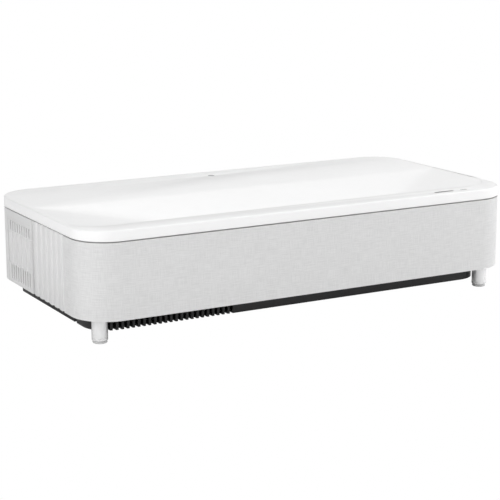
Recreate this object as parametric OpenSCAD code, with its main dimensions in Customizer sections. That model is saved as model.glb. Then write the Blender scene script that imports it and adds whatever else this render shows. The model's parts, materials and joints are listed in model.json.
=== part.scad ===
// Ultra-short-throw home projector that stands on a low cabinet close to the wall.
// X runs along the long side, the cloth front faces -Y, the screen is towards +Y and Z is up.
// The origin is the middle of the footprint, on the surface that the feet stand on.

/* [Body] */
// Overall width
body_w = 695; // [640:1:840]
// Overall depth, front to back
body_d = 341; // [320:1:410]
// Height of the flat top above the table
top_z = 157; // [152:1:190]
// Plan radius of the four corners
corner_r = 53; // [45:1:60]
// Height of the lower edge of the cloth and panels
skirt_z = 34.7; // [30:0.1:38]
// Height of the middle of the seam under the lid
seam_z = 141.6; // [138:0.1:146]
// Width of the seam
seam_gap = 1.5; // [0.5:0.1:2.5]
// Wall of the moulded covers
wall = 3; // [2.5:0.1:4]
// Radius of the lid's upper edge
edge_r = 2; // [1:0.1:2.5]

/* [Lid recess] */
// Flat strip behind the sloping recess, from the rear edge
rear_strip = 141.5; // [120:0.5:150]
// Flat rim in front of the recess, from the front edge
front_rim = 37; // [30:0.5:45]
// Rim left at each end of the recess
side_rim = 4; // [3:0.5:10]
// Depth of the recess at its front wall
recess_depth = 25; // [18:0.5:27]
// Slope of the two end surfaces, in degrees
end_angle = 6.6; // [5:0.1:9]

/* [Window and shutter] */
// Width of the projection window
window_w = 210; // [160:1:230]
// Length of the projection window along the slope
window_len = 50; // [40:1:60]
// Ledge between the front wall of the recess and the window
window_ledge = 6; // [5:0.5:10]
// Thickness of the window glass
glass_t = 3; // [2:0.1:4]
// Thickness of the shutter plate
shutter_t = 2; // [1.5:0.1:2.5]
// Overlap of the shutter beyond each edge of the window
shutter_lap = 3; // [2:0.5:5]
// Module of the rack and pinion
rack_m = 0.8; // [0.7:0.1:1]
// Teeth on the shutter's pinion
rack_teeth = 18; // [17:1:20]

/* [Base tray] */
// Height of the tray's underside above the table
tray_z = 12; // [8:0.5:16]
// Tray set in from each side of the body
tray_side = 25; // [20:0.5:35]
// Tray set in from the front
tray_front = 37; // [30:0.5:45]
// Tray set in from the rear
tray_rear = 20; // [15:0.5:40]
// Plan radius of the tray's front corners
tray_front_r = 38; // [30:1:45]
// Plan radius of the tray's rear corners
tray_rear_r = 25; // [15:1:35]
// Number of slots in the comb grille
comb_n = 24; // [8:1:40]
// Pitch of the comb grille
comb_pitch = 8.1; // [6:0.1:12]
// Width of one slot of the comb
comb_slot = 4.4; // [2:0.1:5]
// First slot from the body's left side
comb_in = 47; // [40:1:80]

/* [Feet] */
// Diameter of the front feet
foot_d = 22; // [18:0.5:24]
// Front foot axis, from the body's side
foot_in_x = 31.5; // [28:0.5:36]
// Front foot axis, from the body's front
foot_in_y = 33.5; // [28:0.5:36]
// Thread diameter of the foot's stud
stud_d = 8; // [6:1:10]
// Travel of a front foot
foot_travel = 8; // [4:1:10]
// Diameter of the rear rubber feet
rear_foot_d = 24; // [16:1:30]
// Rear foot axis, from the body's side
rear_foot_in_x = 100; // [70:1:160]
// Rear foot axis, from the body's rear
rear_foot_in_y = 46; // [40:1:70]

/* [Panels] */
// Thickness of the acoustic cloth
cloth_t = 1.2; // [0.8:0.1:1.5]
// Thickness of the frame behind the cloth
frame_t = 2.5; // [2:0.1:3]
// Distance from the front at which the cloth ends on each side
cloth_end = 77.5; // [70:0.5:90]
// Pitch of the vertical ribs on the side panels
rib_pitch = 18; // [12:1:24]
// Width of one rib
rib_w = 10; // [6:0.5:12]
// Height of the ribs
rib_h = 1.6; // [0.8:0.1:2]
// Width of a vent slot
slot_w = 4; // [3:0.1:5]
// Thickness of the side panels behind the ribs
panel_t = 2; // [1.6:0.1:2.4]
// Length of the filter cover along the side
cover_len = 96; // [90:1:100]
// Gap around a removable cover
cover_gap = 0.6; // [0.3:0.1:1]

/* [Fans] */
// Side of a fan frame
fan_size = 80; // [70:1:80]
// Depth of a fan frame
fan_depth = 25; // [20:1:25]
// Blades on a fan rotor
fan_blades = 7; // [5:1:9]

/* [Projection lens] */
// Height of the lens axis
lens_z = 78; // [76:1:82]
// Radius of the lens barrel
barrel_r = 33; // [28:0.5:34]
// Module of the focus gears
focus_m = 1.3; // [1.2:0.1:1.3]
// Teeth in a full turn of the focus ring
focus_teeth = 60; // [60:1:62]
// Teeth on the focus pinion
focus_pinion_teeth = 16; // [16:1:18]

/* [Hidden] */
$fn = 64;

white = [0.93, 0.93, 0.93];
grey = [0.8, 0.8, 0.8];
black = [0.12, 0.12, 0.13];
steel = [0.7, 0.71, 0.73];
brass = [0.78, 0.62, 0.3];
glass = [0.6, 0.75, 0.8, 0.4];
green = [0.1, 0.4, 0.25];

eps = 0.02;                     // overreach of a cut past the face it opens
fit = 0.05;                     // radial clearance of a running fit
gap = 0.3;                      // clearance between pieces that slide or drop in
side_x = body_w / 2;
front_y = -body_d / 2;
rear_y = body_d / 2;
band_top = seam_z - seam_gap / 2;
lip_z = seam_z + seam_gap / 2;
deck_z = skirt_z + 0.3;         // underside of the base's flange
floor_z = tray_z + wall;        // inside of the tray's floor
shelf_z = deck_z + wall;        // top of the flange
split_front = front_y + cloth_end;
split_rear = rear_y - corner_r;
cover_y0 = split_rear - cover_len;

crease_y = rear_y - rear_strip;
rim_y = front_y + front_rim;
slope_angle = atan(recess_depth / (crease_y - rim_y));
slope_front = -(crease_y - rim_y) / cos(slope_angle);
window_s = slope_front + window_ledge;
shutter_s = window_s - shutter_lap;
shutter_len = window_len + 2 * shutter_lap + rack_m * 10;
shutter_w = window_w + 2 * shutter_lap + 8;
shutter_travel = window_len + shutter_lap + 1;
shutter_n = -wall - 0.2;        // upper face of the shutter, under the sloping skin
bezel_n = shutter_n - shutter_t - 0.2;
bezel_t = glass_t + 1.2;
bezel_w = shutter_w + 12;
bezel_s1 = shutter_s + shutter_len + shutter_travel + 2;
rack_x = window_w / 2 + shutter_lap + 1.8;
rack_w = 5;
rack_pitch_r = rack_m * rack_teeth / 2;
rack_s = shutter_s + shutter_len - rack_m * 6;
rack_n = shutter_n - shutter_t - 1.25 * rack_m;
pinion_n = rack_n - rack_pitch_r - 0.05;

// Posts that carry the lid, as [x, y]
lid_posts = [[-side_x + 27, -70], [-side_x + 27, rear_y - 35], [60, rear_y - 30],
    [side_x - 27, rear_y - 35], [side_x - 27, -100], [-120, front_y + 18], [120, front_y + 18]];
post_z = top_z - 29;
post_r = 6;
post_bore = 4.1;
screw_r = 2;
head_r = 3.6;
head_h = 3;

// Where a post starts: on the tray's floor near the middle, on the flange elsewhere
function post_foot(p) = abs(p[0]) < 100 ? tray_z : deck_z;

key_x = -3;
key_y = rear_y - 35;
key_r = 5;
key_t = 5.5;
key_travel = 1;
key_stem = 12;                  // key to each stem that holds its board
key_board_t = 1.6;
key_board_z = top_z - 15 + key_board_t;

// Indicator lenses, as [start, end] along the front rim
status_x = [[side_x - 131.5, side_x - 99.5], [side_x - 85.5, side_x - 73.5]];
status_y = front_y + 14;
status_d = 3;

// Heights of the rows of slots
grille_z0 = skirt_z + 15.3;
grille_z1 = band_top - 22.85;
low_slots = [skirt_z + 5.3, skirt_z + 27.3];
high_slots = [band_top - 28.85, band_top - 14.85];
sound_pitch = 8;                // between the slots in front of a driver
comb_deep = 9;
comb_tall = 18;

foot_x = side_x - foot_in_x;
foot_y = front_y + foot_in_y;
foot_pad_h = 3;
sleeve_top = deck_z - 0.6;
nut_h = 22;

fan_z = shelf_z + fan_size / 2;
fan_r = fan_size / 2 - 3;
hub_r = 16;
blade_pitch = 38;
exhaust_x = side_x - wall - 1 - fan_depth;
exhaust_ys = [-45, 50];
intake_y = (cover_y0 + split_rear) / 2;
housing_x0 = -side_x + rib_h + panel_t + 0.4;
housing_x1 = housing_x0 + 22;
housing_top = shelf_z + 93;
intake_x = housing_x1 + gap;
filter_t = 17;
filter_w = 86;
filter_h = 78;
filter_z = shelf_z + 3;
filter_edge = 4;                // border of the cartridge's frame

box_x0 = side_x - 197.5;
box_x1 = side_x - 47.5;
box_wall = 3;
box_y0 = front_y + 14;
box_y1 = box_y0 + 56;
box_z1 = top_z - 31;
driver_x = side_x - 122.5;
driver_z = 82;
driver_r = 32;

engine_x0 = -165;
engine_x1 = 45;
engine_y0 = 40;
engine_y1 = 125;
engine_top = 100;
base_x0 = -265;
base_x1 = 72;
optic_y = 75;
prism_s = 30;
wheel_x = -140;
wheel_y = optic_y + 16;
wheel_r = 24;
block_x = -225;
block_w = 35;
diode_ys = [-15, -5, 5, 15];    // laser diodes, from the optical axis
diode_zs = [-8, 8];
fin_pitch = 4;

barrel_back = engine_y0 - 0.5;
barrel_front = -62;
ring_y = -12;
ring_w = 8;
ring_seat_r = focus_m * focus_teeth / 2 - 1.25 * focus_m - 1.4;
focus_r = focus_m * focus_teeth / 2;
focus_pinion_r = focus_m * focus_pinion_teeth / 2;
focus_x = focus_r + focus_pinion_r + 0.1;
mirror_y0 = front_y + tray_front + wall + 4;
mirror_d = 34;
mirror_w = 140;
mirror_r = 110;
mirror_z0 = 45;
mirror_z1 = 116;

board_z = 92;
board_t = 1.6;
board_x0 = 75;
board_x1 = 285;
board_y0 = 30;
board_y1 = rear_y - wall - 1;
// Rear sockets as [x, width, height]
ports = [[110, 15, 6], [140, 15, 6], [170, 15, 6], [200, 13.6, 7], [222, 13.6, 7], [248, 10, 10]];
port_depth = 14;
port_t = 0.6;
inlet_x = -245;
inlet_z = 70;
inlet_w = 30;
inlet_h = 20;
sink_at = [55, 40, 0];          // heat spreader, from the main board's corner
chips_at = [110, 50, 0];
chip_pitch = 18;
power_at = [85, -95, floor_z + 10];

// ---------------------------------------------------------------- shared shapes

// Body outline, drawn in by an inset
module plan(inset = 0) {
    w = side_x - inset;
    d = rear_y - inset;
    r = corner_r - inset;
    square([2 * w, 2 * (d - r)], center = true);
    square([2 * (w - r), 2 * d], center = true);
    for (sx = [-1, 1], sy = [-1, 1])
        translate([sx * (w - r), sy * (d - r)]) circle(r);
}

// Ring of the body's outline between two insets
module band(z0, z1, outer, inner) {
    translate([0, 0, z0]) linear_extrude(z1 - z0) difference() {
        plan(outer);
        plan(inner);
    }
}

// Box given by two corners
module block(a, b) {
    translate(a) cube(b - a);
}

// Cylinder along Y from y0 to y1
module rod_y(x, z, r, y0, y1) {
    translate([x, y1, z]) rotate([90, 0, 0]) cylinder(r = r, h = y1 - y0);
}

// Cylinder along X from x0 to x1
module rod_x(y, z, r, x0, x1) {
    translate([x0, y, z]) rotate([0, 90, 0]) cylinder(r = r, h = x1 - x0);
}

// Tray outline, drawn in by an inset
module tray_plan(inset = 0) {
    x = side_x - tray_side - inset;
    y0 = front_y + tray_front + inset;
    y1 = rear_y - tray_rear - inset;
    rf = tray_front_r - inset;
    rr = tray_rear_r - inset;
    translate([-x + rf, y0]) square([2 * (x - rf), rf]);
    translate([-x, y0 + rf]) square([2 * x, y1 - rr - y0 - rf]);
    translate([-x + rr, y1 - rr]) square([2 * (x - rr), rr]);
    for (sx = [-1, 1]) {
        translate([sx * (x - rf), y0 + rf]) circle(rf);
        translate([sx * (x - rr), y1 - rr]) circle(rr);
    }
}

// Lid blank with a rounded upper edge
module lid_blank() {
    r = edge_r;
    h = top_z - lip_z;
    straight_x = side_x - corner_r;
    straight_y = rear_y - corner_r;
    translate([0, 0, lip_z]) linear_extrude(h - r) plan(0);
    translate([0, 0, lip_z]) linear_extrude(h) plan(r);
    for (s = [-1, 1]) {
        translate([-straight_x, s * (rear_y - r), top_z - r]) rotate([0, 90, 0])
            cylinder(r = r, h = 2 * straight_x);
        translate([s * (side_x - r), straight_y, top_z - r]) rotate([90, 0, 0])
            cylinder(r = r, h = 2 * straight_y);
    }
    for (c = [[1, 1, 0], [-1, 1, 90], [-1, -1, 180], [1, -1, 270]])
        translate([c[0] * straight_x, c[1] * straight_y, top_z - r]) rotate(c[2]) rotate_extrude(angle = 90)
            translate([corner_r - r, 0]) circle(r);
}

// Frame of the sloping floor: local Y climbs the slope and local Z is its normal
module on_slope() {
    translate([0, crease_y, top_z]) rotate([slope_angle, 0, 0]) children();
}

// Space over the sloping floor and the two end surfaces, up to height z1.
// Its outline lies an inset inside the body and grow outside the front wall, and grow lowers its floor.
module recess_space(z1, inset, grow = 0) {
    reach = 2 * body_w;
    z0 = top_z - recess_depth - 20;
    r = corner_r - inset;
    x = side_x - inset;
    intersection() {
        translate([0, 0, z0]) linear_extrude(z1 - z0) union() {
            translate([-x + r, rim_y - grow]) square([2 * (x - r), r]);
            translate([-x, rim_y - grow + r]) square([2 * x, crease_y + 10 - rim_y + grow - r]);
            for (s = [-1, 1]) translate([s * (x - r), rim_y - grow + r]) circle(r);
        }
        on_slope() translate([-reach / 2, -reach, -grow]) cube([reach, 2 * reach, reach]);
        end_space(-1, reach, grow);
        end_space(1, reach, grow);
    }
}

// Space over the end surface on one side, lowered by grow
module end_space(s, reach, grow) {
    translate([s * (side_x - side_rim), 0, top_z]) rotate([0, -s * end_angle, 0])
        translate([-reach / 2, -reach, -grow]) cube([reach, 2 * reach, reach]);
}

// Involute of an angle, in degrees
function involute(a) = tan(a) * 180 / PI - a;

// Half angle of a gear tooth at radius r, less a little play
function tooth_angle(teeth, m, r) =
    let (base = teeth * m / 2 * cos(20))
    90 / teeth - 3.4 / (teeth * m) + involute(20) - involute(acos(min(1, base / r)));

// Spur gear blank along Z with its teeth from first to last
module gear(teeth, m, first, last, width) {
    root = teeth * m / 2 - 1.25 * m;
    tip = teeth * m / 2 + m;
    start = max(root, teeth * m / 2 * cos(20));
    rs = [for (i = [0:3]) start + (tip - start) * i / 3];
    up = [for (r = rs) let (a = tooth_angle(teeth, m, r)) [r * cos(a), r * sin(a)]];
    down = [for (i = [3:-1:0]) [up[i][0], -up[i][1]]];
    foot = (root - 0.4) / norm(up[0]);
    linear_extrude(width) union() {
        circle(root);
        for (k = [first:last]) rotate(k * 360 / teeth)
            polygon(concat([up[0] * foot], up, down, [down[3] * foot]));
    }
}

// Row of upright slots cut through a wall that runs along Y
module slots_y(x0, x1, y0, y1, z0, z1, pitch) {
    n = floor((y1 - y0) / pitch);
    for (k = [0:n - 1])
        block([x0, (y0 + y1) / 2 + (k - (n - 1) / 2) * pitch - slot_w / 2, z0],
            [x1, (y0 + y1) / 2 + (k - (n - 1) / 2) * pitch + slot_w / 2, z1]);
}

// Upright ribs on the outer face of a side wall, drawn on the +X side
module ribs_y(y0, y1, z0, z1) {
    n = floor((y1 - y0 + rib_pitch - rib_w) / rib_pitch);
    for (k = [0:n - 1])
        block([side_x - rib_h - 0.5, (y0 + y1) / 2 + (k - (n - 1) / 2) * rib_pitch - rib_w / 2, z0],
            [side_x, (y0 + y1) / 2 + (k - (n - 1) / 2) * rib_pitch + rib_w / 2, z1]);
}

// Fan frame with four struts that carry the bearing, blowing along X from x = 0
module fan_frame() {
    difference() {
        block([0, -fan_size / 2, -fan_size / 2], [fan_depth, fan_size / 2, fan_size / 2]);
        rod_x(0, 0, fan_r, -eps, fan_depth + eps);
        for (sy = [-1, 1], sz = [-1, 1])
            rod_x(sy * (fan_size / 2 - 4.5), sz * (fan_size / 2 - 4.5), 2.2, -eps, fan_depth + eps);
    }
    difference() {
        union() {
            rod_x(0, 0, hub_r, 0, 4);
            rod_x(0, 0, 4, 0, 15);
            for (a = [45:90:315]) rotate([a, 0, 0]) block([0, hub_r - 2, -2], [3, fan_r + 1, 2]);
        }
        rod_x(0, 0, 1.5 + fit, -eps, 16);
    }
}

// Fan rotor: cup, shaft and pitched blades
module fan_rotor() {
    difference() {
        rod_x(0, 0, hub_r, 5, fan_depth - 1);
        rod_x(0, 0, hub_r - 2, 4, fan_depth - 3);
    }
    rod_x(0, 0, 1.5, 1, fan_depth - 2);
    intersection() {
        for (k = [0:fan_blades - 1]) rotate([k * 360 / fan_blades, 0, 0])
            translate([(fan_depth + 4) / 2, 0, 0]) rotate([0, blade_pitch, 0])
                block([-1, hub_r - 1, -11], [1, fan_r, 11]);
        difference() {
            rod_x(0, 0, fan_r - 1.5, 5.5, fan_depth - 1.5);
            rod_x(0, 0, hub_r - 0.5, 5, fan_depth);
        }
    }
}

// ---------------------------------------------------------------- covers

// White lid with the sloping recess in front of a flat rear strip
module top_cover() color(white) difference() {
    union() {
        difference() {
            lid_blank();
            translate([0, 0, lip_z - eps]) linear_extrude(top_z - wall - lip_z + eps) plan(wall);
        }
        band(lip_z - 8, top_z - wall / 2, wall + 1.7, wall + 4.2);
        recess_space(top_z - wall / 2, wall / 2, wall);
        for (p = lid_posts) translate([p[0], p[1], post_z]) cylinder(r = 5, h = top_z - post_z - 1);
        for (s = [-1, 1]) translate([key_x + s * key_stem, key_y, 0])
            block([-2, -2, key_board_z], [2, 2, top_z - 1]);
    }
    recess_space(top_z + 5, side_rim - 0.6);
    on_slope() translate([-window_w / 2, window_s, -wall - 2]) cube([window_w, window_len, 10]);
    for (p = lid_posts) translate([p[0], p[1], post_z - eps]) cylinder(r = screw_r + fit, h = 12);
    translate([key_x, key_y, top_z - wall - 2]) cylinder(r = key_r + gap, h = 10);
    status_slot(0);
}

// Pockets for the indicator lenses in the front rim
module status_slot(clear) {
    for (x = status_x)
        block([x[0] + clear, status_y + clear, top_z - wall - 1],
            [x[1] - clear, status_y + status_d - clear, top_z + (clear ? 0 : 1)]);
}

// Black base tray: floor, walls, the flange that carries the panels, and posts
module base_tray() color(black) difference() {
    union() {
        translate([0, 0, tray_z]) linear_extrude(wall) tray_plan(0);
        translate([0, 0, tray_z]) linear_extrude(deck_z - tray_z) difference() {
            tray_plan(0);
            tray_plan(wall);
        }
        translate([0, 0, deck_z]) linear_extrude(wall) difference() {
            plan(wall + 1);
            tray_plan(wall);
        }
        for (p = lid_posts) translate([p[0], p[1], post_foot(p)])
            cylinder(r = post_r, h = post_z - post_foot(p));
        for (x = [board_x0 + 8, board_x1 - 8], y = [board_y0 + 10, board_y1 - 10])
            translate([x, y, floor_z - 1]) cylinder(r = 4, h = board_z - floor_z + 1);
        for (x = [10, 190], y = [10, 110]) translate(power_at + [x, y, -11]) cylinder(r = 4, h = 11);
        for (s = [-1, 1]) translate([s * foot_x, foot_y, deck_z]) cylinder(r = 9.5, h = nut_h + 2);
    }
    for (p = lid_posts) translate([p[0], p[1], 0]) {
        cylinder(r = post_bore, h = post_z - 4);
        cylinder(r = screw_r + 0.25, h = post_z + 1);
    }
    for (k = [0:comb_n - 1]) translate([-side_x + comb_in + k * comb_pitch, 0, 0])
        block([-comb_slot / 2, front_y + tray_front - 1, tray_z - 1],
            [comb_slot / 2, front_y + tray_front + comb_deep, tray_z + comb_tall]);
    for (s = [-1, 1]) translate([s * foot_x, foot_y, deck_z - 1]) {
        cylinder(r = stud_d / 2 + 1, h = nut_h + 4);
        translate([0, 0, 3]) cylinder(r = 7 + fit, h = nut_h + 1);
    }
}

// Stiff frame behind the cloth, slotted in front of each speaker
module front_frame() color(grey) difference() {
    intersection() {
        band(skirt_z, band_top, cloth_t, cloth_t + frame_t);
        block([-side_x, front_y, 0], [side_x, split_front, top_z]);
    }
    for (s = [-1, 1], k = [-8:8])
        translate([s * driver_x + k * sound_pitch, front_y, 0])
            block([-sound_pitch / 4, -1, grille_z0], [sound_pitch / 4, 8, grille_z1]);
}

// Cloth skin over the front and both front corners
module front_cloth() color([0.84, 0.84, 0.84]) intersection() {
    band(skirt_z, band_top, 0, cloth_t);
    block([-side_x - 1, front_y - 1, 0], [side_x + 1, split_front, top_z]);
}

// Flat wall of a side panel, on the +X side
module side_wall(y0, y1) {
    block([side_x - rib_h - panel_t, y0, skirt_z], [side_x - rib_h, y1, band_top]);
}

// Left panel, ribbed, between the cloth and the filter cover
module left_panel() color(white) mirror([1, 0, 0]) {
    side_wall(split_front + 0.4, cover_y0 - cover_gap);
    ribs_y(split_front + 0.4, cover_y0 - cover_gap, skirt_z, band_top);
}

// Right panel, ribbed, with the exhaust slots
module right_panel() color(white) difference() {
    union() {
        side_wall(split_front + 0.4, split_rear - 0.4);
        ribs_y(split_front + 0.4, split_rear - 0.4, skirt_z, band_top);
    }
    slots_y(side_x - 5, side_x + 1, exhaust_ys[0] - fan_r, exhaust_ys[1] + fan_r,
        grille_z0, grille_z1, rib_pitch / 2);
}

// Rear panel round both rear corners, with the sockets' openings and vents
module rear_panel() color(white) difference() {
    intersection() {
        band(skirt_z, band_top, 0, wall);
        block([-side_x - 1, split_rear, 0], [side_x + 1, rear_y + 1, top_z]);
    }
    for (p = ports) block([p[0] - p[1] / 2 - 0.5, rear_y - 5, board_z + board_t - 0.5],
        [p[0] + p[1] / 2 + 0.5, rear_y + 1, board_z + board_t + p[2] + 0.5]);
    block([inlet_x - inlet_w / 2 - gap, rear_y - 5, inlet_z - inlet_h / 2 - gap],
        [inlet_x + inlet_w / 2 + gap, rear_y + 1, inlet_z + inlet_h / 2 + gap]);
    for (k = [0:17]) translate([-180 + k * rib_pitch / 2, 0, 0])
        block([-slot_w / 2, rear_y - 5, grille_z0 + 10], [slot_w / 2, rear_y + 1, grille_z1]);
}

// Vented cover over the air filter; it pulls off sideways
module filter_cover() color(white) mirror([1, 0, 0]) difference() {
    union() {
        side_wall(cover_y0, split_rear - cover_gap);
        ribs_y(cover_y0, split_rear - cover_gap, low_slots[1] + 2, high_slots[0] - 2);
        block([side_x - rib_h - 0.5, cover_y0, skirt_z], [side_x, split_rear - cover_gap, skirt_z + 1.2]);
        block([side_x - rib_h - 0.5, cover_y0, high_slots[1] + 1],
            [side_x, split_rear - cover_gap, band_top]);
        block([side_x - rib_h - 0.5, cover_y0, skirt_z], [side_x, cover_y0 + 3, band_top]);
        fins_y(skirt_z, low_slots[1] + 2);
        fins_y(high_slots[0] - 2, high_slots[1] + 2);
    }
    for (z = [low_slots, high_slots])
        slots_y(side_x - 5, side_x + 1, cover_y0 + 3, split_rear - 4, z[0], z[1], rib_pitch / 2);
}

// Thin wall that fills the rib height around a row of vent slots
module fins_y(z0, z1) {
    block([side_x - rib_h - 0.5, cover_y0, z0], [side_x - 0.4, split_rear - cover_gap, z1]);
}

// Duct frame behind the filter cover
module filter_housing() color(black) difference() {
    block([housing_x0, cover_y0 + 1, shelf_z], [housing_x1, split_rear - 1, housing_top]);
    block([housing_x0 - 1, intake_y - filter_w / 2, filter_z],
        [housing_x0 + filter_t + 1.5, intake_y + filter_w / 2, filter_z + filter_h]);
    rod_x(intake_y, fan_z, fan_r, housing_x0, housing_x1 + 1);
}

// Frame of the filter cartridge
module filter_frame() color(grey) difference() {
    block([housing_x0 + 0.5, intake_y - filter_w / 2 + gap, filter_z + gap],
        [housing_x0 + filter_t, intake_y + filter_w / 2 - gap, filter_z + filter_h - gap]);
    block([housing_x0, intake_y - filter_w / 2 + filter_edge, filter_z + filter_edge],
        [housing_x0 + filter_t + 1, intake_y + filter_w / 2 - filter_edge, filter_z + filter_h - filter_edge]);
}

// Pleated filter paper inside the cartridge
module filter_media() color([0.75, 0.77, 0.72]) {
    folds = 26;
    span = filter_w - 2 * filter_edge;
    path = [for (k = [0:folds])
        [housing_x0 + (k % 2 ? filter_t - 4 : 2.5), intake_y - span / 2 + k * span / folds]];
    translate([0, 0, filter_z + filter_edge]) linear_extrude(filter_h - 2 * filter_edge)
        polygon(concat(path, [for (k = [folds:-1:0]) path[k] + [1.5, 0]]));
}

// ---------------------------------------------------------------- window and shutter

// Frame under the lid that holds the glass and guides the shutter
module window_bezel() color(black) on_slope() difference() {
    union() {
        block([-bezel_w / 2, shutter_s - 2, bezel_n - bezel_t], [bezel_w / 2, bezel_s1, bezel_n]);
        for (s = [-1, 1]) translate([s * (bezel_w / 4 + shutter_w / 4 + 0.2), 0, 0])
            block([-(bezel_w - shutter_w) / 4 + 0.2, shutter_s - 2, bezel_n - 1],
                [(bezel_w - shutter_w) / 4 - 0.2, bezel_s1, -wall]);
    }
    block([-window_w / 2 - 1, window_s - 1, bezel_n - glass_t - 0.2],
        [window_w / 2 + 1, window_s + window_len + 1, bezel_n + 1]);
    block([-window_w / 2 + 3, window_s + 3, bezel_n - bezel_t - 1],
        [window_w / 2 - 3, window_s + window_len - 3, bezel_n]);
    block([rack_x - gap, shutter_s - 0.5, bezel_n - bezel_t - 1],
        [rack_x + rack_w + gap, bezel_s1 - 1.5, bezel_n + 0.5]);
}

// Flat pane that the picture leaves through
module window_glass() color(glass) on_slope()
    block([-window_w / 2 - 1 + gap, window_s - 1 + gap, bezel_n - glass_t - 0.2],
        [window_w / 2 + 1 - gap, window_s + window_len + 1 - gap, bezel_n - 0.2]);

// Sliding plate that covers the window, with a rack under one edge
module shutter() color(white) on_slope() {
    block([-shutter_w / 2, shutter_s, shutter_n - shutter_t],
        [shutter_w / 2, shutter_s + shutter_len, shutter_n]);
    n = floor((shutter_len - 6) / (PI * rack_m));
    for (k = [-n + 2:1]) translate([rack_x, rack_s + k * PI * rack_m, rack_n]) rotate([90, 0, 90])
        linear_extrude(rack_w) polygon([
            [-0.25 * PI * rack_m - 1.25 * rack_m * tan(20) + 0.07, 1.25 * rack_m + 0.1],
            [-0.25 * PI * rack_m + rack_m * tan(20) + 0.07, -rack_m],
            [0.25 * PI * rack_m - rack_m * tan(20) - 0.07, -rack_m],
            [0.25 * PI * rack_m + 1.25 * rack_m * tan(20) - 0.07, 1.25 * rack_m + 0.1]]);
}

// Pinion that drives the shutter's rack, on its shaft
module shutter_pinion() color(brass) on_slope() translate([rack_x + 0.5, rack_s, pinion_n]) {
    rotate([90, 0, 90]) rotate(90 + 180 / rack_teeth)
        gear(rack_teeth, rack_m, 0, rack_teeth - 1, rack_w - 1);
    rod_x(0, 0, 1.2, 0, bezel_w / 2 + 12 - rack_x);
}

// Small geared motor that turns the pinion, hung from the bezel
module shutter_motor() color(steel) on_slope() difference() {
    union() {
        rod_x(rack_s, pinion_n, 6.5, bezel_w / 2, bezel_w / 2 + 22);
        block([bezel_w / 2, rack_s - 8, pinion_n - 4], [bezel_w / 2 + 2, rack_s + 8, bezel_n]);
    }
    rod_x(rack_s, pinion_n, 1.2 + fit, bezel_w / 2 - 1, bezel_w / 2 + 14);
}

// ---------------------------------------------------------------- key and indicators

// Power key near the middle of the rear edge
module power_key() color(black) {
    translate([key_x, key_y, top_z - key_t + 1]) cylinder(r = key_r, h = key_t - 1);
    translate([key_x, key_y, top_z - key_t]) cylinder(r = key_r + 1.2, h = 1.5);
}

// Small board with the switch under the power key
module key_board() color(green) {
    block([key_x - 15, key_y - 8, key_board_z - key_board_t], [key_x + 15, key_y + 8, key_board_z]);
    translate([key_x, key_y, key_board_z])
        cylinder(r = 3, h = top_z - key_t - key_travel - 0.2 - key_board_z);
}

// Clear lenses of the indicators and the remote's receiver
module status_lens() color(glass) status_slot(0.1);

// ---------------------------------------------------------------- feet and screws

// Glide pad of a front foot, which doesn't turn
module foot_pad(s) color(black) translate([s * foot_x, foot_y, 0]) {
    cylinder(r = foot_d / 2 - 1, h = foot_pad_h);
    cylinder(r = 3, h = foot_pad_h + 5);
}

// Metal sleeve and threaded stud of a front foot
module foot_sleeve(s) color(steel) translate([s * foot_x, foot_y, 0]) {
    difference() {
        union() {
            translate([0, 0, foot_pad_h + 1.2]) cylinder(r = foot_d / 2, h = sleeve_top - foot_pad_h - 1.2);
            translate([0, 0, foot_pad_h + 0.2]) cylinder(r1 = foot_d / 2 - 1, r2 = foot_d / 2, h = 1);
            translate([0, 0, sleeve_top - 1]) cylinder(r = stud_d / 2, h = nut_h - 3);
        }
        translate([0, 0, foot_pad_h]) cylinder(r = 3 + fit, h = 5.5);
    }
}

module foot_pad_left() foot_pad(-1);
module foot_pad_right() foot_pad(1);
module foot_sleeve_left() foot_sleeve(-1);
module foot_sleeve_right() foot_sleeve(1);

// Threaded inserts in the base that the front feet screw into
module foot_nuts() color(brass) for (s = [-1, 1]) translate([s * foot_x, foot_y, deck_z + 2]) difference() {
    cylinder(r = 7, h = nut_h);
    translate([0, 0, -1]) cylinder(r = stud_d / 2 + fit, h = nut_h + 2);
}

// Low rubber feet under the rear of the tray
module rear_feet() color(black) for (s = [-1, 1])
    translate([s * (side_x - rear_foot_in_x), rear_y - rear_foot_in_y, 0]) {
        cylinder(r1 = rear_foot_d / 2 - 1, r2 = rear_foot_d / 2, h = 1);
        translate([0, 0, 1]) cylinder(r = rear_foot_d / 2, h = tray_z - 1);
    }

// Screws that hold the lid, driven from below
module lid_screws() color(steel) for (p = lid_posts) translate([p[0], p[1], post_z - 4 - head_h]) {
    cylinder(r = head_r, h = head_h);
    cylinder(r = screw_r, h = head_h + 14);
}

// ---------------------------------------------------------------- speakers

// Closed box behind a driver
module speaker_box(s) color(black) difference() {
    translate([s * (box_x0 + box_x1) / 2, 0, 0])
        block([-(box_x1 - box_x0) / 2, box_y0, shelf_z], [(box_x1 - box_x0) / 2, box_y1, box_z1]);
    translate([s * (box_x0 + box_x1) / 2, 0, 0])
        block([-(box_x1 - box_x0) / 2 + box_wall, box_y0 + box_wall, shelf_z + box_wall],
            [(box_x1 - box_x0) / 2 - box_wall, box_y1 - box_wall, box_z1 - box_wall]);
    rod_y(s * driver_x, driver_z, driver_r, box_y0 - 1, box_y0 + 4);
}

module speaker_box_left() speaker_box(-1);
module speaker_box_right() speaker_box(1);

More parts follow.
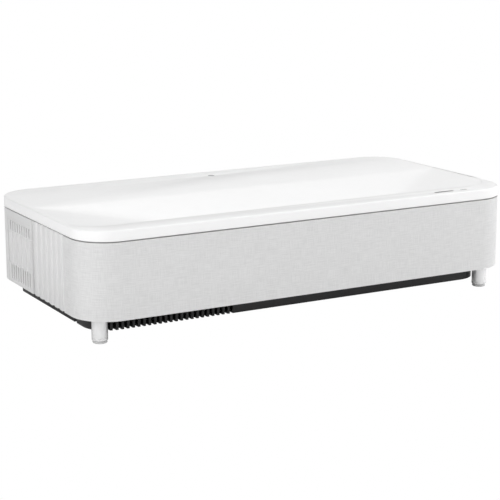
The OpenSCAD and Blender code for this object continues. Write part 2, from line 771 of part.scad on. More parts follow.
// Stamped baskets with their mounting rings and spiders
module speaker_baskets() color(steel) for (s = [-1, 1]) translate([s * driver_x, box_y0, driver_z]) {
    difference() {
        rod_y(0, 0, driver_r + 6, -2, 0);
        rod_y(0, 0, driver_r - 3, -3, 1);
    }
    difference() {
        rod_y(0, 0, driver_r - 0.5, -1, 22);
        rod_y(0, 0, driver_r - 3, -2, 20);
        for (a = [0:60:300]) rotate([0, a, 0]) block([14, 4, -8], [40, 17, 8]);
        rod_y(0, 0, 14, 10, 23);
    }
}

// Paper cone with its surround and dust cap
module speaker_cone(s) color(black) translate([s * driver_x, box_y0, driver_z]) rotate([-90, 0, 0]) {
    rotate_extrude() polygon([[13, 14], [27, 1], [28.5, 1], [28.5, 2], [14, 15.5], [13, 15.5]]);
    translate([0, 0, 12]) intersection() {
        cylinder(r = 13.2, h = 6);
        translate([0, 0, 22]) sphere(24);
    }
}

module speaker_cone_left() speaker_cone(-1);
module speaker_cone_right() speaker_cone(1);

// Magnets behind the baskets
module speaker_magnets() color(steel) for (s = [-1, 1])
    rod_y(s * driver_x, driver_z, 21, box_y0 + 22, box_y0 + 38);

// ---------------------------------------------------------------- fans

module intake_fan_frame() color(black) translate([intake_x, intake_y, fan_z]) fan_frame();
module intake_rotor() color(black) translate([intake_x, intake_y, fan_z]) fan_rotor();

module exhaust_fan_frames() color(black)
    for (y = exhaust_ys) translate([exhaust_x, y, fan_z]) fan_frame();

module exhaust_rotor_front() color(black) translate([exhaust_x, exhaust_ys[0], fan_z]) fan_rotor();
module exhaust_rotor_rear() color(black) translate([exhaust_x, exhaust_ys[1], fan_z]) fan_rotor();

// ---------------------------------------------------------------- light engine

// Cast plate that carries the light engine, the lens saddle and the mirror's seat
module engine_base() color(steel) difference() {
    union() {
        block([base_x0, engine_y0, deck_z - 1], [base_x1, engine_y1 + 3, shelf_z]);
        block([-75, mirror_y0 - 3.5, deck_z - 1], [base_x1, engine_y0 + 1, shelf_z]);
        for (x = [base_x0 + 8, -70, base_x1 - 8], y = [engine_y0 + 8, engine_y1 - 8])
            translate([x, y, floor_z]) cylinder(r = 5, h = shelf_z - floor_z - 1);
        for (x = [-60, 60], y = [mirror_y0 + 8, mirror_y0 + 60])
            translate([x, y, floor_z]) cylinder(r = 5, h = shelf_z - floor_z - 1);
        block([-barrel_r - 7, 4, shelf_z - 1], [barrel_r + 7, 24, lens_z]);
        block([-mirror_w / 2, mirror_y0, shelf_z - 1], [mirror_w / 2, mirror_y0 + mirror_d, mirror_z0]);
        block([-mirror_w / 2, mirror_y0 - 3.5, shelf_z - 1], [mirror_w / 2, mirror_y0 - 0.2, mirror_z1]);
    }
    rod_y(0, lens_z, barrel_r + 0.1, 3, 25);
}

// Closed casting around the colour optics
module engine_housing() color(steel) difference() {
    block([engine_x0, engine_y0, shelf_z], [engine_x1, engine_y1, engine_top]);
    block([engine_x0 + 3, engine_y0 + 3, shelf_z + 3], [engine_x1 - 3, engine_y1 - 3, engine_top + 1]);
    rod_y(0, lens_z, 20, engine_y0 - 1, engine_y0 + 4);
    rod_x(optic_y, lens_z, 18, engine_x0 - 1, engine_x0 + 4);
}

// Lid of the light engine
module engine_lid() color(steel)
    block([engine_x0, engine_y0, engine_top], [engine_x1, engine_y1, engine_top + 2]);

// Copper-cored block that the laser diodes sit in
module laser_block() color(brass) difference() {
    block([block_x, optic_y - 26, shelf_z], [block_x + block_w, optic_y + 26, lens_z + 22]);
    for (y = diode_ys, z = diode_zs)
        rod_x(optic_y + y, lens_z + z, 4 + fit, block_x + block_w - 6, block_x + block_w + 1);
}

// Laser diodes in two rows
module laser_diodes() color(brass) for (y = diode_ys, z = diode_zs) {
    rod_x(optic_y + y, lens_z + z, 4, block_x + block_w - 6, block_x + block_w + 1);
    rod_x(optic_y + y, lens_z + z, 2.2, block_x + block_w, block_x + block_w + 4);
}

// Finned heat sink between the laser block and the intake fan
module laser_heatsink() color(steel) {
    block([block_x - 6, optic_y - 34, shelf_z], [block_x, optic_y + 34, lens_z + 26]);
    for (k = [-8:8]) translate([0, optic_y + k * fin_pitch, 0])
        block([base_x0 + 2, -0.6, shelf_z], [block_x - 5.9, 0.6, lens_z + 26]);
}

// Coated wheel that turns the blue light yellow
module phosphor_wheel() color([0.8, 0.75, 0.2]) difference() {
    union() {
        rod_x(wheel_y, lens_z, wheel_r - 4, wheel_x, wheel_x + 1.5);
        rod_x(wheel_y, lens_z, 8, wheel_x, wheel_x + 4);
        rod_x(wheel_y, lens_z, 2, wheel_x, wheel_x + 18);
    }
    for (a = [0:60:300]) translate([wheel_x, wheel_y, lens_z]) rotate([a, 0, 0])
        rod_x(12, 0, 1.6, -1, 3);
}

// Motor of the phosphor wheel
module wheel_motor() color(steel) difference() {
    union() {
        rod_x(wheel_y, lens_z, 12, wheel_x + 5, wheel_x + 22);
        block([wheel_x + 7, wheel_y - 8, shelf_z + 3], [wheel_x + 20, wheel_y + 8, lens_z]);
    }
    rod_x(wheel_y, lens_z, 2 + fit, wheel_x + 4, wheel_x + 19);
}

// Integrator plates and colour-splitting mirrors
module relay_optics() color(glass) {
    for (x = [-104, -94]) block([x, optic_y - 16, shelf_z + 3], [x + 3, optic_y + 16, lens_z + 16]);
    for (x = [-72, -42]) translate([x, optic_y, shelf_z + 3]) rotate([0, 0, 45])
        block([-18, -0.6, 0], [18, 0.6, lens_z + 16 - shelf_z - 3]);
}

// The three display panels around the prism
module lcd_panels() color(black) for (a = [0, 90, 180])
    translate([0, optic_y, lens_z]) rotate([0, 0, a]) difference() {
        block([prism_s / 2 + 2, -17, shelf_z + 3 - lens_z], [prism_s / 2 + 4.5, 17, 16]);
        block([prism_s / 2 + 1, -11, -8], [prism_s / 2 + 3, 11, 8]);
    }

// Prism that joins the three colours, on its pedestal
module prism() color(glass)
    block([-prism_s / 2, optic_y - prism_s / 2, shelf_z + 3],
        [prism_s / 2, optic_y + prism_s / 2, lens_z + prism_s / 2]);

// Barrel of the projection lens
module lens_barrel() color(black) difference() {
    union() {
        rod_y(0, lens_z, barrel_r, barrel_front, barrel_back);
        rod_y(0, lens_z, ring_seat_r, ring_y - ring_w - 20, ring_y + 4);
        rod_y(0, lens_z, ring_seat_r + 1.2, ring_y + 0.4, ring_y + 8);
    }
    rod_y(0, lens_z, barrel_r - 5, barrel_front - 1, barrel_back + 1);
}

// Glass elements in the barrel
module lens_elements() color(glass) for (y = [28, 4, -28, -54])
    intersection() {
        rod_y(0, lens_z, barrel_r - 5 - fit, y - 5, y + 5);
        translate([0, y - 78, lens_z]) sphere(82, $fn = 200);
        translate([0, y + 78, lens_z]) sphere(82, $fn = 200);
    }

// Toothed ring that shifts the focusing group
module focus_ring() color(grey) translate([0, ring_y, lens_z]) rotate([90, 0, 0]) difference() {
    union() {
        gear(focus_teeth, focus_m, -7, 7, ring_w);
        cylinder(r = ring_seat_r + 0.8, h = ring_w);
    }
    translate([0, 0, -1]) cylinder(r = ring_seat_r + fit, h = ring_w + 2);
}

// Pinion of the focus motor
module focus_pinion() color(brass) translate([focus_x, ring_y, lens_z]) {
    rotate([90, 0, 0]) rotate(180 / focus_pinion_teeth)
        gear(focus_pinion_teeth, focus_m, 0, focus_pinion_teeth - 1, ring_w);
    rod_y(0, 0, 1.5, -ring_w - 14, 0);
}

// Focus motor on its foot
module focus_motor() color(steel) difference() {
    union() {
        rod_y(focus_x, lens_z, 9, ring_y - ring_w - 24, ring_y - ring_w - 2);
        block([focus_x - 7, ring_y - ring_w - 22, shelf_z], [focus_x + 7, ring_y - ring_w - 4, lens_z]);
    }
    rod_y(focus_x, lens_z, 1.5 + fit, ring_y - ring_w - 15, ring_y - ring_w);
}

// Concave mirror that throws the picture up and back
module mirror_block() color([0.85, 0.87, 0.9]) difference() {
    block([-mirror_w / 2, mirror_y0, mirror_z0], [mirror_w / 2, mirror_y0 + mirror_d, mirror_z1]);
    translate([0, mirror_y0 + mirror_r + 8, mirror_z1 + 2]) sphere(mirror_r);
}

// ---------------------------------------------------------------- electronics

// Main board with its chips, behind the rear sockets
module main_board() color(green) {
    block([board_x0, board_y0, board_z], [board_x1, board_y1, board_z + board_t]);
    translate([board_x0, board_y0, board_z + board_t]) {
        block(sink_at, sink_at + [40, 40, 9 - board_t]);
        for (k = [0:3]) translate(chips_at + [k * chip_pitch, 0, 0]) cube([12, 20, 1.2]);
    }
}

// Metal shells of the rear sockets
module port_shells() color(steel)
    for (p = ports) translate([p[0], board_y1, board_z + board_t]) difference() {
    block([-p[1] / 2, -port_depth + 2, 0], [p[1] / 2, 3.5, p[2]]);
    block([-p[1] / 2 + port_t, -port_depth + 8, port_t], [p[1] / 2 - port_t, 4, p[2] - port_t]);
}

// Power supply board
module power_board() color(green) translate(power_at) cube([200, 120, board_t]);

// Transformer, chokes and capacitors of the power supply
module power_parts() color(black) translate(power_at + [0, 0, board_t]) {
    block([35, 35, 0], [80, 75, 32]);
    block([105, 25, 0], [130, 50, 24]);
    for (k = [0:2]) translate([115 + k * 24, 85, 0]) cylinder(r = 10, h = 34);
}

// Mains inlet in the rear panel
module power_inlet() color(black) difference() {
    union() {
        block([inlet_x - inlet_w / 2, rear_y - 24, inlet_z - inlet_h / 2],
            [inlet_x + inlet_w / 2, rear_y - 0.5, inlet_z + inlet_h / 2]);
        block([inlet_x - inlet_w / 2 - 4, rear_y - wall - 2.2, inlet_z - inlet_h / 2 - 4],
            [inlet_x + inlet_w / 2 + 4, rear_y - wall - 0.2, inlet_z + inlet_h / 2 + 4]);
    }
    block([inlet_x - 9, rear_y - 15, inlet_z - 5], [inlet_x + 9, rear_y, inlet_z + 5]);
}

top_cover();
base_tray();
front_frame();
front_cloth();
left_panel();
right_panel();
rear_panel();
filter_cover();
filter_housing();
filter_frame();
filter_media();
window_bezel();
window_glass();
shutter();
shutter_pinion();
shutter_motor();
power_key();
key_board();
status_lens();
foot_pad_left();
foot_pad_right();
foot_sleeve_left();
foot_sleeve_right();
foot_nuts();
rear_feet();
lid_screws();
speaker_box_left();
speaker_box_right();
speaker_baskets();
speaker_cone_left();
speaker_cone_right();
speaker_magnets();
intake_fan_frame();
intake_rotor();
exhaust_fan_frames();
exhaust_rotor_front();
exhaust_rotor_rear();
engine_base();
engine_housing();
engine_lid();
laser_block();
laser_diodes();
laser_heatsink();
phosphor_wheel();
wheel_motor();
relay_optics();
lcd_panels();
prism();
lens_barrel();
lens_elements();
focus_ring();
focus_pinion();
focus_motor();
mirror_block();  // mirror
main_board();
port_shells();
power_board();
power_parts();
power_inlet();
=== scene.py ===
"""Looks of an ultra-short-throw home projector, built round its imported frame.

The frame holds every solid at its place. This script dresses those solids, replaces the ones
that show with finer meshes, and adds the small fittings that a stranger would look for.
"""

import json
import logging
import math
from dataclasses import dataclass
from enum import Enum
from typing import Any, Callable, Dict, List, Mapping, Optional, Tuple, Union

import bmesh
import bpy
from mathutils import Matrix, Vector

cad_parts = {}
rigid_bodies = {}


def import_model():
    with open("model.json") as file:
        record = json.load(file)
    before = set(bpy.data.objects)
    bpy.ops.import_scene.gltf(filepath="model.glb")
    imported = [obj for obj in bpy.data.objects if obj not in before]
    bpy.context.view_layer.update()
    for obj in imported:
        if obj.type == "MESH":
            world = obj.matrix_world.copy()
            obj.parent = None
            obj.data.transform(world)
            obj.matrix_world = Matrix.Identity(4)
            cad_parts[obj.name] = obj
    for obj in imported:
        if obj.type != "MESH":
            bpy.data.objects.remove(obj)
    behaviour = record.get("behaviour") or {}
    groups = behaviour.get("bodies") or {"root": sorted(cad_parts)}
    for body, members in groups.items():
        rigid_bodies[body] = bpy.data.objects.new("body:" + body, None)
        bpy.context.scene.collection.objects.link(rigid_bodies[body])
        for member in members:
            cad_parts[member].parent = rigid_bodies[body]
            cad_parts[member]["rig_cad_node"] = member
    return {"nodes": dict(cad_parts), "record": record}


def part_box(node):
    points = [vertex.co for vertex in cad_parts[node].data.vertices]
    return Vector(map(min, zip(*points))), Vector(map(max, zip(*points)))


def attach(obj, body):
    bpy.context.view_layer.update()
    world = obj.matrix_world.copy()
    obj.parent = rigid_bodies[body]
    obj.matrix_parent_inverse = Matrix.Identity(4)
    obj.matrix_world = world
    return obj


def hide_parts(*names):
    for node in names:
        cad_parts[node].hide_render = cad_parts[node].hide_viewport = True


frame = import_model()

log = logging.getLogger("projector")

Colour = Tuple[float, float, float]
Point = Tuple[float, float, float]
Profile = List[Tuple[float, float]]
Planes = Dict[str, Tuple[Vector, Vector]]
CHASSIS = "chassis"
WHITE = (1, 1, 1, 1)
DUST: Colour = (0.62, 0.61, 0.59)
DOUBLES = 0.00001
FLAT = 0.003
CREASE = 32.0


# ---------------------------------------------------------------- shader maths


class Wire:
    """One output socket of a material, on which Python's operators add Math nodes."""

    def __init__(self, graph: "Graph", socket: bpy.types.NodeSocket) -> None:
        """Keeps the graph and the socket.

        Args:
            graph: The graph that the socket belongs to.
            socket: The output socket.
        """
        self.graph = graph
        self.socket = socket

    def math(self, operation: str, *terms: "Term") -> "Wire":
        """Returns the result of one Math node on these terms."""
        return self.graph.node("ShaderNodeMath", {"operation": operation}, dict(enumerate(terms)))

    def __add__(self, other: "Term") -> "Wire":
        """Returns self + other."""
        return self.math("ADD", self, other)

    def __radd__(self, other: "Term") -> "Wire":
        """Returns other + self."""
        return self.math("ADD", other, self)

    def __sub__(self, other: "Term") -> "Wire":
        """Returns self - other."""
        return self.math("SUBTRACT", self, other)

    def __rsub__(self, other: "Term") -> "Wire":
        """Returns other - self."""
        return self.math("SUBTRACT", other, self)

    def __mul__(self, other: "Term") -> "Wire":
        """Returns self * other."""
        return self.math("MULTIPLY", self, other)

    def __rmul__(self, other: "Term") -> "Wire":
        """Returns other * self."""
        return self.math("MULTIPLY", other, self)

    def __truediv__(self, other: "Term") -> "Wire":
        """Returns self / other."""
        return self.math("DIVIDE", self, other)

    def __rtruediv__(self, other: "Term") -> "Wire":
        """Returns other / self."""
        return self.math("DIVIDE", other, self)

    def __gt__(self, other: "Term") -> "Wire":
        """Returns 1 where self is above other, and 0 elsewhere."""
        return self.math("GREATER_THAN", self, other)

    def __lt__(self, other: "Term") -> "Wire":
        """Returns 1 where self is below other, and 0 elsewhere."""
        return self.math("LESS_THAN", self, other)

    def fraction(self) -> "Wire":
        """Returns the part after the decimal point."""
        return self.math("FRACT", self)

    def whole(self) -> "Wire":
        """Returns the largest whole number that is not above self."""
        return self.math("FLOOR", self)

    def arch(self) -> "Wire":
        """Returns a half sine over each unit: 0 at its ends and 1 at its middle."""
        return self.math("SINE", self.fraction() * math.pi)

    def band(self, low: float, high: float) -> "Wire":
        """Returns a smooth step from 0 at low to 1 at high."""
        settings = {"interpolation_type": "SMOOTHSTEP"}
        return self.graph.node("ShaderNodeMapRange", settings, {0: self, 1: low, 2: high})


Term = Union[Wire, float]


class Graph:
    """The node graph of one material, or of the world."""

    def __init__(self, name: str, world: bool = False) -> None:
        """Makes an empty material or world with its output.

        Args:
            name: The name of the material or world.
            world: True for a world.
        """
        self.owner = (bpy.data.worlds if world else bpy.data.materials).new(name)
        self.owner.use_nodes = True
        self.tree = self.owner.node_tree
        self.tree.nodes.clear()
        self.output = self.tree.nodes.new("ShaderNodeOutputWorld" if world else "ShaderNodeOutputMaterial")

    def node(
        self,
        kind: str,
        settings: Optional[Mapping[str, Any]] = None,
        sockets: Optional[Mapping[Union[int, str], Any]] = None,
        output: Union[int, str] = 0,
    ) -> Wire:
        """Adds one node.

        Args:
            kind: The node's type.
            settings: The node's own settings, set first.
            sockets: Values or wires for its inputs, by name or number.
            output: The output to return.

        Returns:
            The chosen output.
        """
        made = self.tree.nodes.new(kind)
        for name, value in (settings or {}).items():
            setattr(made, name, value)
        for key, value in (sockets or {}).items():
            if isinstance(value, Wire):
                self.tree.links.new(value.socket, made.inputs[key])
            else:
                made.inputs[key].default_value = value
        return Wire(self, made.outputs[output])

    def place(self) -> Wire:
        """Returns the point on the piece, in metres."""
        return self.node("ShaderNodeTexCoord", output="Object")

    def along(self, layer: str) -> Wire:
        """Returns the point on the piece's own flat layout, in metres."""
        return self.node("ShaderNodeUVMap", {"uv_map": layer})

    def moved(self, point: Wire, shift: Point, scale: Point = (1, 1, 1), turn: Point = (0, 0, 0)) -> Wire:
        """Returns the point after a shift, a turn and a scale."""
        sockets = {"Vector": point, "Location": shift, "Rotation": turn, "Scale": scale}
        return self.node("ShaderNodeMapping", {}, sockets)

    def part(self, point: Wire, axis: str) -> Wire:
        """Returns one coordinate of a point."""
        return self.node("ShaderNodeSeparateXYZ", {}, {0: point}, output=axis)

    def noise(self, point: Wire, size: float, detail: float = 2.0, warp: float = 0.0) -> Wire:
        """Returns soft noise from 0 to 1 whose features are about size metres across."""
        sockets = {"Vector": point, "Scale": 1 / size, "Detail": detail, "Distortion": warp}
        return self.node("ShaderNodeTexNoise", {}, sockets)

    def cells(self, point: Wire, size: float, feature: str = "F1", output: str = "Distance") -> Wire:
        """Returns a pattern of rounded cells about size metres across."""
        sockets = {"Vector": point, "Scale": 1 / size}
        return self.node("ShaderNodeTexVoronoi", {"feature": feature}, sockets, output)

    def mix(self, share: Term, low: Union[Wire, Colour], high: Union[Wire, Colour]) -> Wire:
        """Mixes two colours.

        Args:
            share: The share of the second colour.
            low: The colour where the share is 0.
            high: The colour where the share is 1.

        Returns:
            The mixed colour.
        """
        ends = [c if isinstance(c, Wire) else (*c, 1.0) for c in (low, high)]
        settings = {"data_type": "RGBA", "blend_type": "MIX", "clamp_factor": True}
        return self.node("ShaderNodeMix", settings, {0: share, 6: ends[0], 7: ends[1]}, output=2)

    def bump(self, height: Wire, depth: float, strength: float = 1.0) -> Wire:
        """Returns the normal of a surface that rises by depth metres where height is 1."""
        return self.node("ShaderNodeBump", {}, {"Height": height, "Distance": depth, "Strength": strength})

    def upward(self) -> Wire:
        """Returns 1 on faces that look up, where dust settles, and 0 on the others."""
        facing = self.node("ShaderNodeNewGeometry", output="Normal")
        return self.part(facing, "Z").band(0.6, 0.98)

    def finish(self, wires: Mapping[str, Wire], values: Mapping[str, Any]) -> bpy.types.Material:
        """Adds the surface shader.

        Args:
            wires: What varies over the surface, by socket name.
            values: What is the same all over, set on the sockets themselves.

        Returns:
            The finished material.
        """
        self.cover(self.node("ShaderNodeBsdfPrincipled", {}, {**values, **wires}))
        return self.owner

    def cover(self, shader: Wire) -> None:
        """Makes a shader the surface of the material or world."""
        self.tree.links.new(shader.socket, self.output.inputs["Surface"])

    def staged(self, lit: Wire, seen: Wire) -> Wire:
        """Returns one shader for what lights the object, and another for what is seen straight on."""
        straight = self.node("ShaderNodeLightPath", output="Is Camera Ray")
        return self.node("ShaderNodeMixShader", {}, {0: straight, 1: lit, 2: seen})


# ---------------------------------------------------------------- finishes


def tinted(colour: Colour, factor: float) -> Colour:
    """Returns the colour made lighter or darker.

    Args:
        colour: The starting colour.
        factor: What each channel is multiplied by.

    Returns:
        The new colour, at most 1 in each channel.
    """
    return tuple(min(1.0, c * factor) for c in colour)


@dataclass(frozen=True)
class Finish:
    """A surface finish. Each kind builds its own nodes."""

    name: str
    colour: Colour
    roughness: float

    def make(self) -> bpy.types.Material:
        """Returns the finish as a material."""
        raise NotImplementedError


@dataclass(frozen=True)
class MouldedPlastic(Finish):
    """Injection-moulded plastic with an etched grain."""

    grain: float = 0.0006
    depth: float = 0.00002
    mottle: float = 0.02
    dust: float = 0.02
    coat: float = 0.0

    def make(self) -> bpy.types.Material:
        """Builds the nodes of the finish.

        Returns:
            Plastic with an etched grain, faint flow marks and a film of dust.
        """
        g = Graph(self.name)
        spot = g.place()
        flow = g.noise(spot, 0.11, 3.0, 0.6).band(0.3, 0.7)
        fine = g.noise(spot, self.grain, 3.0)
        pits = g.cells(spot, self.grain * 1.7)
        dusty = g.upward() * g.noise(spot, 0.018, 4.0).band(0.42, 0.75)
        body = g.mix(flow, tinted(self.colour, 1 - self.mottle), tinted(self.colour, 1 + self.mottle))
        etched = (pits * 0.5 + fine * 0.5).band(0.2, 0.8)
        grained = g.mix(etched, body, tinted(self.colour, 1 - self.mottle * 2))
        shade = g.mix(dusty * self.dust, grained, DUST)
        dull = fine * 0.09 + flow * 0.05 + dusty * 0.1 + (self.roughness - 0.07)
        rise = g.bump(fine * 0.45 + pits * 0.55, self.depth, 0.6)
        values = {"IOR": 1.49, "Coat Roughness": 0.12, "Coat Weight": self.coat}
        return g.finish({"Base Color": shade, "Roughness": dull, "Normal": rise}, values)


@dataclass(frozen=True)
class AcousticCloth(Finish):
    """Fine plain-woven speaker cloth of mixed grey and white threads."""

    pitch: float = 0.00062
    layout: str = "cloth"
    shade: Colour = (0.5, 0.5, 0.5)

    def make(self) -> bpy.types.Material:
        """Builds the nodes of the finish.

        Returns:
            A plain weave with uneven threads, and painted shade in the small holes between them.
        """
        g = Graph(self.name)
        flat = g.along(self.layout)
        across, up = g.part(flat, "X"), g.part(flat, "Y")
        warp_no, weft_no = across / self.pitch, up / self.pitch
        warp, weft = warp_no.arch(), weft_no.arch()
        turn = ((warp_no.whole() + weft_no.whole()) * 0.5).fraction() > 0.25
        over = warp * turn + weft * (1 - turn)
        slub_weft = g.noise(g.moved(flat, (0, 0, 0), (0.05, 1, 1)), self.pitch * 1.6, 2.0)
        slub_warp = g.noise(g.moved(flat, (0.4, 0.1, 0), (1, 0.06, 1)), self.pitch * 1.6, 2.0)
        drift = g.noise(flat, 0.05, 3.0)
        # Painted shade: the holes between the threads are painted darker than the threads, for the shaded
        # frame behind them.
        hole_shade = (1 - warp) * (1 - weft)
        light = (slub_weft * 0.55 + slub_warp * 0.45 + (drift - 0.5) * 0.1).band(0.3, 0.68)
        thread = g.mix(light, self.shade, self.colour)
        # The holes are mixed towards a darker grey as painted shade.
        woven = g.mix(hole_shade * 0.3, thread, tinted(self.shade, 0.8))
        rise = g.bump(over * 0.8 + light * 0.2, self.pitch * 0.22, 0.7)
        dull = 1 - over * (1 - self.roughness)
        values = {"IOR": 1.45, "Sheen Weight": 0.12, "Sheen Roughness": 0.45}
        return g.finish({"Base Color": woven, "Roughness": dull, "Normal": rise}, values)


class Lay(Enum):
    """The direction of a metal's marks, as the scale of its noise along X, Y and Z."""

    TURNED = (0.02, 0.02, 1.0)
    BRUSHED_Y = (1.0, 0.03, 1.0)
    ROLLED = (0.25, 0.25, 0.25)


@dataclass(frozen=True)
class WorkedMetal(Finish):
    """Metal with the marks of turning, brushing or rolling."""

    lay: Lay = Lay.ROLLED
    mark: float = 0.00025
    depth: float = 0.000006
    stain: float = 0.08
    metal: float = 1.0

    def make(self) -> bpy.types.Material:
        """Builds the nodes of the finish.

        Returns:
            Metal with directional marks and faint stains.
        """
        g = Graph(self.name)
        spot = g.place()
        marks = g.noise(g.moved(spot, (0, 0, 0), self.lay.value), self.mark, 4.0)
        cloud = g.noise(spot, 0.02, 3.0).band(0.35, 0.7)
        shade = g.mix(marks, tinted(self.colour, 0.9), tinted(self.colour, 1.06))
        stained = g.mix(cloud * self.stain, shade, tinted(self.colour, 0.6))
        dull = marks * 0.16 + cloud * 0.06 + (self.roughness - 0.1)
        rise = g.bump(marks, self.depth)
        values = {"Metallic": self.metal, "Anisotropic": 0.35}
        return g.finish({"Base Color": stained, "Roughness": dull, "Normal": rise}, values)


@dataclass(frozen=True)
class CastMetal(Finish):
    """Die-cast metal, blasted and left bare."""

    grit: float = 0.0009

    def make(self) -> bpy.types.Material:
        """Builds the nodes of the finish.

        Returns:
            A blasted casting with flow lines.
        """
        g = Graph(self.name)
        spot = g.place()
        grit = g.cells(spot, self.grit, "SMOOTH_F1")
        flow = g.noise(spot, 0.03, 5.0, 1.4)
        shade = g.mix(flow.band(0.3, 0.7), tinted(self.colour, 0.84), tinted(self.colour, 1.05))
        pitted = g.mix(grit.band(0.45, 0.8) * 0.5, shade, tinted(self.colour, 0.7))
        dull = flow * 0.2 + (self.roughness - 0.08)
        rise = g.bump(grit * 0.7 + flow * 0.3, 0.00006, 0.8)
        return g.finish({"Base Color": pitted, "Roughness": dull, "Normal": rise}, {"Metallic": 0.9})


@dataclass(frozen=True)
class CoatedGlass(Finish):
    """Optical glass with a faint coating."""

    tint: float = 0.0

    def make(self) -> bpy.types.Material:
        """Builds the nodes of the finish.

        Returns:
            Clear glass with wipe marks in its gloss.
        """
        g = Graph(self.name)
        spot = g.place()
        wiped = g.noise(g.moved(spot, (0, 0, 0), (0.15, 1, 1)), 0.012, 5.0, 0.8)
        shade = g.mix(wiped.band(0.3, 0.8) * 0.3, self.colour, tinted(self.colour, 0.94))
        dull = wiped.band(0.5, 0.9) * 0.05 + self.roughness
        values = {"Transmission Weight": 1.0, "IOR": 1.52, "Coat Tint": (0.85, 0.9, 1.0, 1.0)}
        coat = wiped * 0.2 + self.tint
        return g.finish({"Base Color": shade, "Roughness": dull, "Coat Weight": coat}, values)


@dataclass(frozen=True)
class SolderMask(Finish):
    """Printed board: copper tracks under a coloured mask."""

    copper: Colour = (0.5, 0.36, 0.16)

    def make(self) -> bpy.types.Material:
        """Builds the nodes of the finish.

        Returns:
            A board with tracks, vias and bare pads.
        """
        g = Graph(self.name)
        spot = g.place()
        east, north = g.part(spot, "X"), g.part(spot, "Y")
        zone = g.cells(spot, 0.022, output="Color")
        lead = g.part(zone, "X") > 0.5
        runs = (north / 0.0016).arch() * lead + (east / 0.0016).arch() * (1 - lead)
        track = runs.band(0.62, 0.8)
        bits = g.cells(spot, 0.0042)
        pad = bits < 0.13
        mask = g.mix(track, tinted(self.colour, 0.75), tinted(self.colour, 1.45))
        shade = g.mix(pad, mask, self.copper)
        rise = g.bump(track * 0.6 + pad * 0.4, 0.00004)
        dull = self.roughness + track * 0.06 - pad * 0.1
        wires = {"Base Color": shade, "Roughness": dull, "Metallic": pad, "Normal": rise}
        return g.finish(wires, {"IOR": 1.5})


@dataclass(frozen=True)
class Fibrous(Finish):
    """Pressed paper or filter paper."""

    fibre: float = 0.0012

    def make(self) -> bpy.types.Material:
        """Builds the nodes of the finish.

        Returns:
            Matted fibres with uneven tone.
        """
        g = Graph(self.name)
        spot = g.place()
        one = g.noise(g.moved(spot, (0, 0, 0), (1, 0.15, 0.5), (0.3, 0.2, 0.6)), self.fibre, 5.0, 1.5)
        two = g.noise(g.moved(spot, (0, 0, 0), (0.2, 1, 0.7), (0.9, 0.4, 0.2)), self.fibre, 5.0, 1.5)
        mat = one * 0.5 + two * 0.5
        shade = g.mix(mat.band(0.35, 0.65), tinted(self.colour, 0.8), tinted(self.colour, 1.12))
        rise = g.bump(mat, 0.00012, 0.8)
        dull = mat * 0.1 + (self.roughness - 0.05)
        return g.finish({"Base Color": shade, "Roughness": dull, "Normal": rise}, {"Sheen Weight": 0.1})


@dataclass(frozen=True)
class CoatedWheel(Finish):
    """Polished disc with a ring of ceramic phosphor."""

    centre: Point = (0.0, 0.0, 0.0)
    inner: float = 0.0135

    def make(self) -> bpy.types.Material:
        """Builds the nodes of the finish.

        Returns:
            Bright metal with a matt yellow ring outside the inner radius.
        """
        g = Graph(self.name)
        spot = g.place()
        local = g.moved(spot, tuple(-c for c in self.centre))
        east, up = g.part(local, "Y"), g.part(local, "Z")
        square = east * east + up * up
        radius = square.math("SQRT", square)
        ring = radius.band(self.inner, self.inner + 0.0003)
        grain = g.noise(spot, 0.0004, 3.0)
        ceramic = g.mix(grain, tinted(self.colour, 0.85), tinted(self.colour, 1.1))
        metal = g.mix(grain, (0.7, 0.71, 0.73), (0.8, 0.81, 0.83))
        shade = g.mix(ring, metal, ceramic)
        dull = ring * 0.55 + grain * 0.1 + self.roughness
        rise = g.bump(grain * ring, 0.00003)
        wires = {"Base Color": shade, "Roughness": dull, "Metallic": 1 - ring, "Normal": rise}
        return g.finish(wires, {"IOR": 1.5})


@dataclass(frozen=True)
class Silvering(Finish):
    """Front-surface mirror."""

    def make(self) -> bpy.types.Material:
        """Builds the nodes of the finish.

        Returns:
            A mirror with the faintest haze.
        """
        g = Graph(self.name)
        haze = g.noise(g.place(), 0.02, 4.0, 0.7).band(0.4, 0.8)
        shade = g.mix(haze * 0.2, self.colour, tinted(self.colour, 0.93))
        dull = haze * 0.02 + self.roughness
        return g.finish({"Base Color": shade, "Roughness": dull}, {"Metallic": 1.0})


